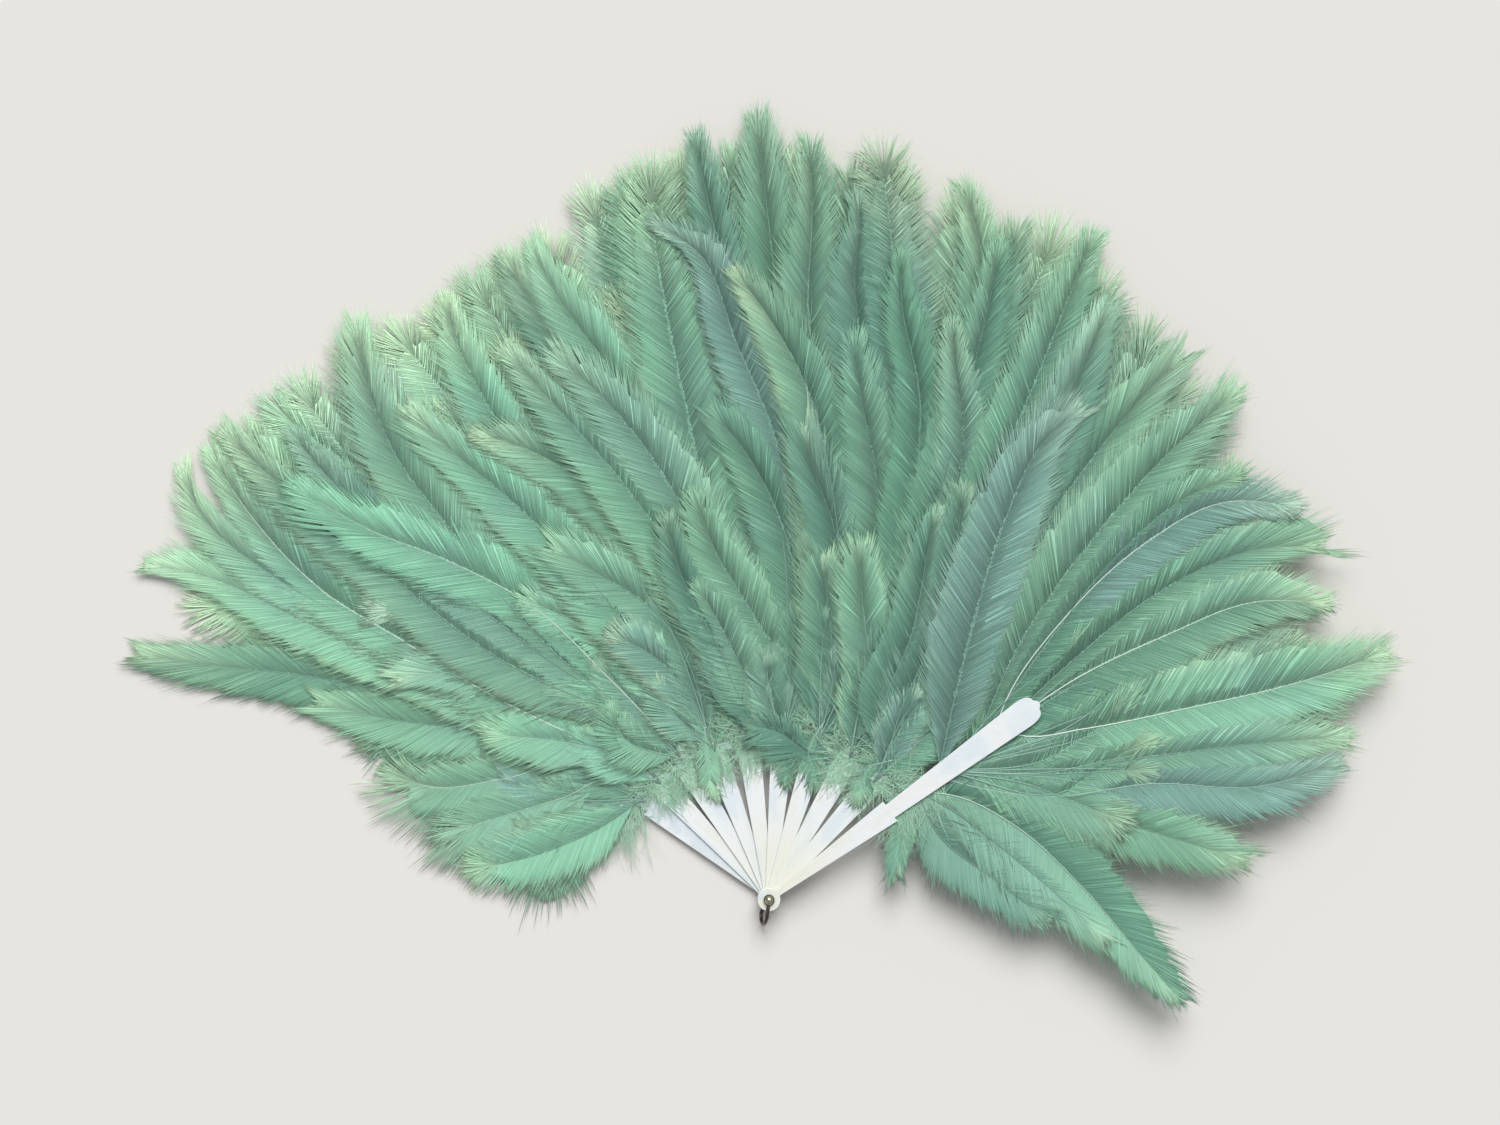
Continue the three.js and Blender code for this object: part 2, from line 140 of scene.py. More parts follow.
# Parts of a piece are gathered as arrays and become one mesh
class Gather:
    def __init__(self):
        self.rows = {key: [] for key in ("points", "faces", "slots", "barb", "dye", "flat")}
        self.count = self.strands = self.sheets = 0

    def add(self, points, faces, slot, barb, dye, flat):
        slots = np.full(len(faces), slot, np.int32)
        for key, part in zip(self.rows, (points, faces + self.count, slots, barb, dye, flat)):
            self.rows[key].append(part)
        self.count += len(points)

    # Places on the bake map from rows of kind (0 sheet, 1 strand), number, across and along
    def bakePlaces(self, flat):
        kind, number, across, along = flat.T
        band, edge, sheetEdge = bakeMap["band"], bakeMap["strandMargin"], bakeMap["sheetMargin"]
        side = math.ceil(math.sqrt(max(self.strands, 1)))
        strandU = (number % side + between((edge, 1 - edge), across)) / side
        strandV = band + (1 - band) * (number // side + between((edge, 1 - edge), along)) / side
        sheetU = (number + between((sheetEdge, 1 - sheetEdge), across)) / max(self.sheets, 1)
        sheetV = band * between(bakeMap["sheetRows"], along)
        return np.where(kind > 0, (strandU, strandV), (sheetU, sheetV)).T

    def piece(self, name, materials):
        rows = {key: np.concatenate(parts) for key, parts in self.rows.items()}
        faces = rows["faces"]
        data = bpy.data.meshes.new(name)
        data.from_pydata((rows["points"] * mm).tolist(), [], faces.tolist(), shade_flat=False)
        data.polygons.foreach_set("material_index", rows["slots"])
        for key in ("barb", "dye"):
            attribute = data.attributes.new(key, "FLOAT_VECTOR", "POINT")
            attribute.data.foreach_set("vector", rows[key].astype(np.float32).ravel())
        layer = data.uv_layers.new(name="OFBake")
        places = self.bakePlaces(rows["flat"])[faces.ravel()]
        layer.data.foreach_set("uv", places.astype(np.float32).ravel())
        for material in materials:
            data.materials.append(material)
        return addObject(name, data)


# Grid of rows and columns as triangles, facing up when columns run to the right of the rows
def gridFaces(rows, columns):
    a = (np.arange(rows - 1)[:, None] * columns + np.arange(columns - 1)).ravel()
    quads = np.stack([a, a + 1, a + columns + 1, a + columns], 1)
    return np.concatenate([quads[:, [0, 1, 2]], quads[:, [0, 2, 3]]])


# Wall of a tube of rings, with a flat cap at its root
def tubeFaces(rings, sides):
    row, column = np.divmod(gridFaces(rings, sides + 1), sides + 1)
    spokes = np.arange(1, sides - 1)
    return np.concatenate([row * sides + column % sides, np.stack([0 * spokes, spokes + 1, spokes], 1)])


ridgeShare = 0.06  # height of a strand's ridge as a share of its width


# Strands: at each station two lower edges, half a width to either side, and a ridge; then a point
def addStrands(gather, slot, plan, height, width, roll, barb, dye):
    n, stations = plan.shape[:2]
    rings = stations - 1
    across = leftOf(unit(np.gradient(plan, axis=1)))[:, :rings] * (width[:, :rings, None] / 2)
    tilt = np.tan(roll)[:, None] * width[:, :rings] / 2
    middle, rise = plan[:, :rings], height[:, :rings]
    right, left = lifted(middle - across, rise - tilt), lifted(middle + across, rise + tilt)
    ridge = lifted(middle, rise + ridgeShare * width[:, :rings])
    body = np.stack([right, left, ridge], 2).reshape(n, 3 * rings, 3)
    tips = lifted(plan[:, rings:], height[:, rings:])
    points = np.concatenate([body, tips], 1).reshape(-1, 3)
    size = 3 * rings + 1
    point = size - np.array([[4, 3, 1], [3, 2, 1], [2, 4, 1]])
    faces = np.concatenate([tubeFaces(rings, 3), point])
    faces = (faces + size * np.arange(n)[:, None, None]).reshape(-1, 3)
    order = np.append(np.repeat(np.arange(rings), 3), rings)
    number = np.repeat(gather.strands + np.arange(n), size)
    side = np.tile(np.append(np.tile([0, 1, 0.5], rings), 0.5), n)
    along = np.tile(order / rings, n)
    flat = np.stack([np.ones(n * size), number, side, along], 1)
    gather.strands += n
    gather.add(points, faces, slot, barb[:, order].reshape(-1, 3), dye[:, order].reshape(-1, 3), flat)


# Thin closed sheet: the grid, the same grid lower down, and a rim between them
def addSheet(gather, slot, grid, thickness, barb, dye):
    rows, columns = grid.shape[:2]
    n = rows * columns
    top = grid.reshape(-1, 3)
    under = top - np.array([0, 0, thickness])
    upper = gridFaces(rows, columns)
    index = np.arange(n).reshape(rows, columns)
    ring = np.concatenate([index[0, :-1], index[:-1, -1], index[-1, :0:-1], index[:0:-1, 0]])
    after = np.roll(ring, -1)
    rim = np.concatenate([np.stack([ring, ring + n, after], 1), np.stack([after, ring + n, after + n], 1)])
    faces = np.concatenate([upper, upper[:, ::-1] + n, rim])
    along, across = np.meshgrid(steps(rows), steps(columns), indexing="ij")
    flat = np.stack([np.zeros(n), np.full(n, gather.sheets), across.ravel(), along.ravel()], 1)
    gather.sheets += 1
    twice = [np.tile(part.reshape(n, -1), (2, 1)) for part in (barb, dye, flat)]
    gather.add(np.concatenate([top, under]), faces, slot, *twice)


# Rod: rings of points round a line, with a flat cap at each end
def addRod(gather, slot, line, radius, sides, dye):
    rings = len(line)
    ahead = unit(np.gradient(line, axis=0))
    across = unit(lifted(leftOf(ahead), np.zeros(rings)))
    up = np.cross(ahead, across)
    share = np.linspace(0, 1, sides, endpoint=False)
    turn = 2 * np.pi * share
    ring = np.cos(turn)[None, :, None] * across[:, None] + np.sin(turn)[None, :, None] * up[:, None]
    points = (line[:, None] + radius[:, None, None] * ring).reshape(-1, 3)
    spokes = np.arange(1, sides - 1)
    endCap = np.stack([0 * spokes, spokes, spokes + 1], 1) + (rings - 1) * sides
    faces = np.concatenate([tubeFaces(rings, sides), endCap])
    rows = np.repeat(dye, sides, 0)
    along = np.repeat(steps(rings), sides)
    flat = np.stack([0 * along, 0 * along + gather.sheets, np.tile(share, rings), along], 1)
    gather.sheets += 1
    gather.add(points, faces, slot, np.zeros_like(rows), rows, flat)


quillSamples = 160


# Quill line through given points: cubic pieces with mean slopes, resampled by arc length
def quillLine(points):
    knots = np.concatenate([[0], np.cumsum(distanceOf(np.diff(points, axis=0)))])
    slopes = np.gradient(points, knots, axis=0)
    at = np.linspace(0, knots[-1], quillSamples)
    k = np.clip(np.searchsorted(knots, at, "right") - 1, 0, len(points) - 2)
    h = (knots[k + 1] - knots[k])[:, None]
    u = (at - knots[k])[:, None] / h
    line = points[k] * (1 + 2 * u) * (1 - u) ** 2 + slopes[k] * h * u * (1 - u) ** 2
    line += points[k + 1] * u * u * (3 - 2 * u) + slopes[k + 1] * h * u * u * (u - 1)
    run = np.concatenate([[0], np.cumsum(distanceOf(np.diff(line, axis=0)))])
    even = np.linspace(0, run[-1], quillSamples)
    line = np.stack([np.interp(even, run, line[:, 0]), np.interp(even, run, line[:, 1])], 1)
    return line, unit(np.gradient(line, even, axis=0)), run[-1]


# Plume in mm, degrees and shares; a pair at a tip is for a pointed one, and what a brushy one adds
plumeShape = {
    "bareRoot": 6, "tipHair": (16, 0.25),  # barbs past the quill's end, and the most as a share
    # Barb angles off the quill at root and end: along the plume, at the tip; where on the vane they close
    "rootAngle": (46, 12, 30), "endAngle": (42, 11, 40), "leastAngle": 12, "closing": 0.5,
    # Where barbs turn in and pale, how much angle they keep, how pale they are
    "turning": 0.75, "turnIn": (0.55, 1), "tipLight": 0.6,
    # Where the vane is full, where it narrows and by which power
    "tipWidth": (0.08, 0.58), "swell": 0.24, "taper": (0.38, 2.1), "leastReach": 0.6,
    # Where a barb parts from the web, stations along its free part, widths there, how far ahead it ends
    "parting": (0.0, 0.04), "free": (0, 0.7, 1), "barbWidth": (0.34, 0.38, 0), "ahead": 0.08,
    # Barbs that cling together and that lean alike, and the stations where they cling and differ in shade
    "clump": (1, 6), "lock": (30, 110), "clinging": 0.3, "differing": 0.6,
    # Heights over web and table, distances from the rivet where plumes puff up and arch, the arch's power
    "barbLift": 0.13, "lowest": 0.35, "puffing": (190, 320), "arching": (120, 230, 1.2),
    # Share of the barbs that a brushy plume's web closes, then a pointed one's: along it, near and at the tip
    "web": (0.76, 0.5, 0.1), "closedWeb": (0.8, 0.74, 0.5), "webFade": (0.5, 0.88), "webLimits": (0.05, 0.96),
    # Painted shade darkening the web's edge, and where; grids: spacing along the plume, least rows, columns
    "webEdgeShade": (0.05, 0.5, 0.95), "webThickness": 0.1, "webGrid": (5, 8, 4),
    "quillRadius": (0.45, 0.12), "quillRise": (0.25, 0.05), "quillGrid": (8, 6, 5),
}
# Scatter from plume to plume and barb to barb; three values are for clumps, locks and single barbs
plumeScatter = {
    "lean": 4, "brush": (0, 0.5), "dye": 0.17, "dyeSeed": 5000, "shade": 0.11, "paintedSideShade": 0.1,
    "ownShade": (0.06, 0.1, 0.06), "place": 0.3, "sway": (0.9, 3.5, 0.8), "length": (0.05, 0.09),
    "rootLength": (2, 0.35), "lengthLimits": (0.6, 1.35), "wisps": (0.08, 0.05, 0.3), "wave": 0.7,
    "cling": (0.05, 0.5), "lift": (0.06, 0.14), "rise": 0.03, "width": (0.75, 1.3), "roll": 0.03, "web": 0.05,
}
# Hairs that close a plume's tip: roots and least length by the hair past the quill, turns by the tip's angle
tuftShape = {
    "count": 60, "roots": (0, 0.3), "turn": (0.5, 1.1), "length": (0.7, 30), "scatter": (0.8, 1.15),
    "middle": (1.2, 0.35), "curl": 0.12, "lift": (0, 0.5), "shade": (-0.2, 0.4), "hairlines": 3, "roll": 0.1,
}


# Vane half-width along the plume: swells fast, holds, then narrows to the tip
def vaneProfile(t, tipWidth):
    start, power = plumeShape["taper"]
    swell = 1 - (1 - np.clip(t / plumeShape["swell"], 0, 1)) ** 2
    return swell * (1 - (1 - tipWidth) * np.clip((t - start) / (1 - start), 0, 1) ** power)


def sines(rootAngle, endAngle):
    return np.sin(np.radians(rootAngle)) + np.sin(np.radians(endAngle))


# A barb leaves the quill at one angle and ends at another: a quadratic curve with those two tangents
def barbCurve(base, ahead, side, reach, rootAngle, endAngle, stations):
    length = (2 * reach / sines(rootAngle, endAngle))[:, None]
    rootWay, endWay = [wayOf(np.radians(angle))[:, None] for angle in (rootAngle, endAngle)]
    early, late = stations * (1 - stations / 2), stations * stations / 2
    along, across = [length * (rootWay[..., k] * early + endWay[..., k] * late) for k in (0, 1)]
    left = leftOf(ahead) * side
    return base[:, None] + along[..., None] * ahead[:, None] + across[..., None] * left[:, None]


def groups(draw, limits, n):
    return np.repeat(np.arange(n), draw.integers(*limits, n))[:n]


# What the parts of a plume share: its quill line, where the vane lies on it, its lean, shade and dye
class Plume:
    def __init__(self, gather, spec, seed):
        draw = np.random.default_rng(seed)
        self.gather, self.spec, self.draw = gather, spec, draw
        root = stickPoint(spec["stick"], spec["root"])
        self.line, self.ahead, self.length = quillLine(np.concatenate([[root], spec["route"][::-1]]))
        self.lean = draw.normal(0, plumeScatter["lean"])
        self.brush = spec["brush"] or draw.uniform(*plumeScatter["brush"])
        self.tipWidth = plumeShape["tipWidth"][0] + plumeShape["tipWidth"][1] * self.brush
        self.shade = draw.normal(spec["shade"], plumeScatter["shade"])
        self.tipHair, mostTip = plumeShape["tipHair"]
        start = max(spec["bare"], plumeShape["bareRoot"] / self.length)
        self.vane = start, 1 - min(self.tipHair / self.length, mostTip)
        self.vaneLength = (self.vane[1] - self.vane[0]) * self.length
        vary = np.random.default_rng(seed + plumeScatter["dyeSeed"]).normal(0, plumeScatter["dye"], 2)
        self.dye = np.clip((spec["tone"] + vary[0], spec["pale"] + vary[1]), 0, 1)


# Points and directions at shares of the quill
def onQuill(p, at):
    columns = np.column_stack([p.line, p.ahead]).T
    rows = np.stack([np.interp(at, steps(quillSamples), column) for column in columns], 1)
    return rows[:, :2], unit(rows[:, 2:])


# Barb angles at the root and at the end by place along the vane
def barbAngles(p, vane):
    narrow = smooth(plumeShape["closing"], 1, vane)
    pair = []
    for along, tip, brushy in (plumeShape["rootAngle"], plumeShape["endAngle"]):
        angle = p.lean + along + (tip + p.brush * brushy - along) * narrow
        pair.append(np.maximum(angle, plumeShape["leastAngle"]))
    return pair


# Height: the plume's layer, its level there, puffed up away from the rivet and arched across the vane
def plumeHeight(p, plan, across):
    spec, distance = p.spec, distanceOf(plan)
    height = layerHeight(spec["stick"], distance) + spec["level"] * layerRoom(spec["stick"], distance)
    height += spec["puff"] * smooth(*plumeShape["puffing"], distance)
    low, high, power = plumeShape["arching"]
    arch = spec["arch"] * across ** power * smooth(low, high, distance)
    return np.maximum(height - arch, plumeShape["lowest"])


def barbWidths(p, n):
    scatter = p.draw.uniform(*plumeScatter["width"], (n, 1))
    return np.array(plumeShape["barbWidth"]) * scatter * p.spec["coarse"]


def barbLight(p, across, vane):
    turning = smooth(plumeShape["turning"], 1, vane)[:, None]
    return across + (1 - across) * plumeShape["tipLight"] * turning


# Attributes: light, mm along the quill and shade; then tone, paleness and share of the quill
def plumeColours(p, light, along, shade, quillAt):
    rows = np.broadcast_arrays(light, along, shade, *p.dye, quillAt)
    return np.stack(rows[:3], 2), np.stack(rows[3:], 2)


# Barbs of one side: they differ by clump, lock and barb, wave, and cling together towards their ends
def addBarbs(p, side, width):
    draw, shape, scatter = p.draw, plumeShape, plumeScatter
    free = np.array(shape["free"])
    n = int(p.vaneLength / p.spec["spacing"])
    vane = np.clip(steps(n) + draw.normal(0, scatter["place"] / n, n), 0, 1)
    quillAt = between(p.vane, vane)
    base, way = onQuill(p, quillAt)
    clump, lock = groups(draw, shape["clump"], n), groups(draw, shape["lock"], n)
    byClump, byLock, byBarb = scatter["sway"]
    sway = draw.normal(0, byClump, n)[clump] + draw.normal(0, byLock, n)[lock] + draw.normal(0, byBarb, n)
    byClump, byBarb = scatter["length"]
    more, start = scatter["rootLength"]
    ragged = draw.normal(0, byBarb, n) * (1 + more * smooth(start, 0, vane))
    stretch = np.clip(draw.normal(1, byClump, n)[clump] + ragged, *scatter["lengthLimits"])
    chance, *extra = scatter["wisps"]
    stretch += (draw.uniform(0, 1, n) < chance) * draw.uniform(*extra, n)
    reach = width * vaneProfile(vane, p.tipWidth) * stretch + shape["leastReach"]
    ends = barbAngles(p, vane)
    parting = draw.uniform(*shape["parting"], (n, 1))
    stations = parting + (1 - parting) * free
    kept = 1 - (1 - draw.uniform(*shape["turnIn"], n)) * smooth(shape["turning"], 1, vane)
    rootAngle, endAngle = [np.maximum(angle * kept, shape["leastAngle"]) for angle in ends]
    reach *= sines(rootAngle, endAngle) / sines(*ends)
    endAngle = np.maximum(endAngle + sway, shape["leastAngle"])
    plan = barbCurve(base, way, side, reach, rootAngle, endAngle, stations)
    wave = draw.normal(0, scatter["wave"], n)[lock][:, None] * np.sin(2 * np.pi * free)
    plan += wave[..., None] * way[:, None]
    members = np.bincount(clump)[:, None, None]
    mean = np.zeros((len(members), len(free), 2))
    np.add.at(mean, clump, plan)
    cling = draw.uniform(*scatter["cling"], n)[clump][:, None] * smooth(shape["clinging"], 1, free)
    plan += cling[..., None] * ((mean / members)[clump] - plan)
    height = plumeHeight(p, plan, stations * (reach / width)[:, None]) + shape["barbLift"]
    lift = draw.normal(*scatter["lift"], n)[clump][:, None] * free ** 2
    height = np.maximum(height + lift + draw.normal(0, scatter["rise"], (n, 1)), shape["lowest"])
    wide = barbWidths(p, n)
    # painted light and shade: each side of the vane lighter or darker, for its tilt to the light
    paintedSideShade = p.shade + draw.normal(0, scatter["paintedSideShade"])
    byClump, byLock, byBarb = scatter["ownShade"]
    own = draw.uniform(-byBarb, byBarb, n) + draw.normal(0, byClump, n)[clump]
    own += draw.normal(0, byLock, n)[lock]
    shade = np.clip(paintedSideShade + own[:, None] * smooth(0, shape["differing"], stations), 0, 1)
    at = quillAt[:, None]
    light = barbLight(p, stations, vane)
    rows = plumeColours(p, light, at * p.length, shade, at + shape["ahead"] * stations)
    addStrands(p.gather, 0, plan, height, wide, draw.normal(0, scatter["roll"], n), *rows)
    return paintedSideShade


# Web of one side: it follows the barbs as far as it closes them
def webSide(p, side, width, shade):
    shape = plumeShape
    step, least, columns = shape["webGrid"]
    rows = max(int(p.vaneLength / step), least)
    vane = steps(rows)
    reach = width * vaneProfile(vane, p.tipWidth) + shape["leastReach"]
    most, near, last = between(np.array([shape["closedWeb"], shape["web"]]), p.brush)
    start, tip = shape["webFade"]
    closed = most + (near - most) * smooth(start, tip, vane) + (last - near) * smooth(tip, 1, vane)
    closed = p.spec["web"] * closed + p.draw.normal(0, plumeScatter["web"], rows)
    closed = np.clip(closed, *shape["webLimits"])[:, None] * steps(columns)
    plan = barbCurve(*onQuill(p, between(p.vane, vane)), side, reach, *barbAngles(p, vane), closed)
    height = plumeHeight(p, plan, closed * (reach / width)[:, None])
    # painted shade: the web darkens towards its edge, for the shadowed gaps between the barbs over it
    darker, low, high = shape["webEdgeShade"]
    return plan, closed, height, np.clip(shade - darker * smooth(low, high, closed), 0, 1)


def addWeb(p, sides):
    plan, across, height, shade = [np.concatenate([a[:, ::-1], b[:, 1:]], 1) for a, b in zip(*sides)]
    vane = steps(len(plan))
    at = between(p.vane, vane)[:, None]
    rows = plumeColours(p, barbLight(p, across, vane), at * p.length, shade, at)
    addSheet(p.gather, 0, lifted(plan, height), plumeShape["webThickness"], *rows)


# Hairs that fan out from the quill's end
def addTuft(p):
    draw, shape = p.draw, tuftShape
    n = shape["count"]
    free = np.array(plumeShape["free"])
    at = p.vane[1] - draw.uniform(*shape["roots"], n) * p.tipHair / p.length
    base, way = onQuill(p, at)
    tipAngle = np.radians(np.mean(barbAngles(p, np.ones(1))))
    scatter, limit = shape["turn"]
    turn = np.clip(draw.normal(0, scatter, n), -limit, limit)
    least, most = shape["length"]
    tipLength = np.mean(p.spec["width"]) * p.tipWidth / np.sin(tipAngle)
    tipLength = np.clip(tipLength, least * p.tipHair, most)
    middle, lack = shape["middle"]
    hair = (draw.uniform(*shape["scatter"], n) * tipLength * (middle - lack * np.abs(turn)))[:, None]
    turn = turn * tipAngle
    sideways = hair * (np.sin(turn)[:, None] * free + draw.normal(0, shape["curl"], (n, 1)) * free ** 2)
    forward = hair * np.cos(turn)[:, None] * free
    plan = base[:, None] + forward[..., None] * way[:, None] + sideways[..., None] * leftOf(way)[:, None]
    height = plumeHeight(p, plan, 0 * free) + plumeShape["barbLift"]
    height += draw.uniform(*shape["lift"], (n, 1)) * free
    wide = barbWidths(p, n)
    shade = np.clip(p.shade + draw.uniform(*shape["shade"], (n, 1)) * free, 0, 1)
    light = between((plumeShape["tipLight"], 1), free)
    at = at[:, None]
    along = at * p.length + shape["hairlines"] * shade
    rows = plumeColours(p, light, along, shade, at + plumeShape["ahead"] * free)
    addStrands(p.gather, 0, plan, height, wide, draw.normal(0, shape["roll"], n), *rows)


def addQuill(p):
    step, least, sides = plumeShape["quillGrid"]
    at = np.linspace(0, p.vane[1], max(int(p.length / step), least))
    share = at / p.vane[1]
    plan, _ = onQuill(p, at)
    height = plumeHeight(p, plan, 0 * at) + between(plumeShape["quillRise"], share ** 3)
    radius = between(plumeShape["quillRadius"], share) * p.spec["coarse"]
    dye = np.stack([np.full(len(at), p.spec["quill"]), 0 * at, at], 1)
    addRod(p.gather, 1, lifted(plan, height), radius, sides, dye)


# One plume: a quill, a smooth web on both sides and barbs that part from it, clinging in clumps
def addPlume(gather, spec, seed):
    p = Plume(gather, spec, seed)
    sides = []
    for side, width in zip((1, -1), spec["width"]):
        shade = addBarbs(p, side, width)
        sides.append(webSide(p, side, width, shade))
    addWeb(p, sides)
    addTuft(p)
    addQuill(p)


# Route in photo pixels from tip to root; half-widths in mm left and right of the quill, or one for both;
# tone (0 blue-grey, 1 bright green), pale (fringe and tip), quill (0 dark, 1 white)
def plume(pixels, width=25, tone=0.5, pale=0.5, quill=0.2, **more):
    look = {"width": np.broadcast_to(width, 2), "tone": tone, "pale": pale, "quill": quill}
    return {"route": fromPhoto(pixels), **look, **more}


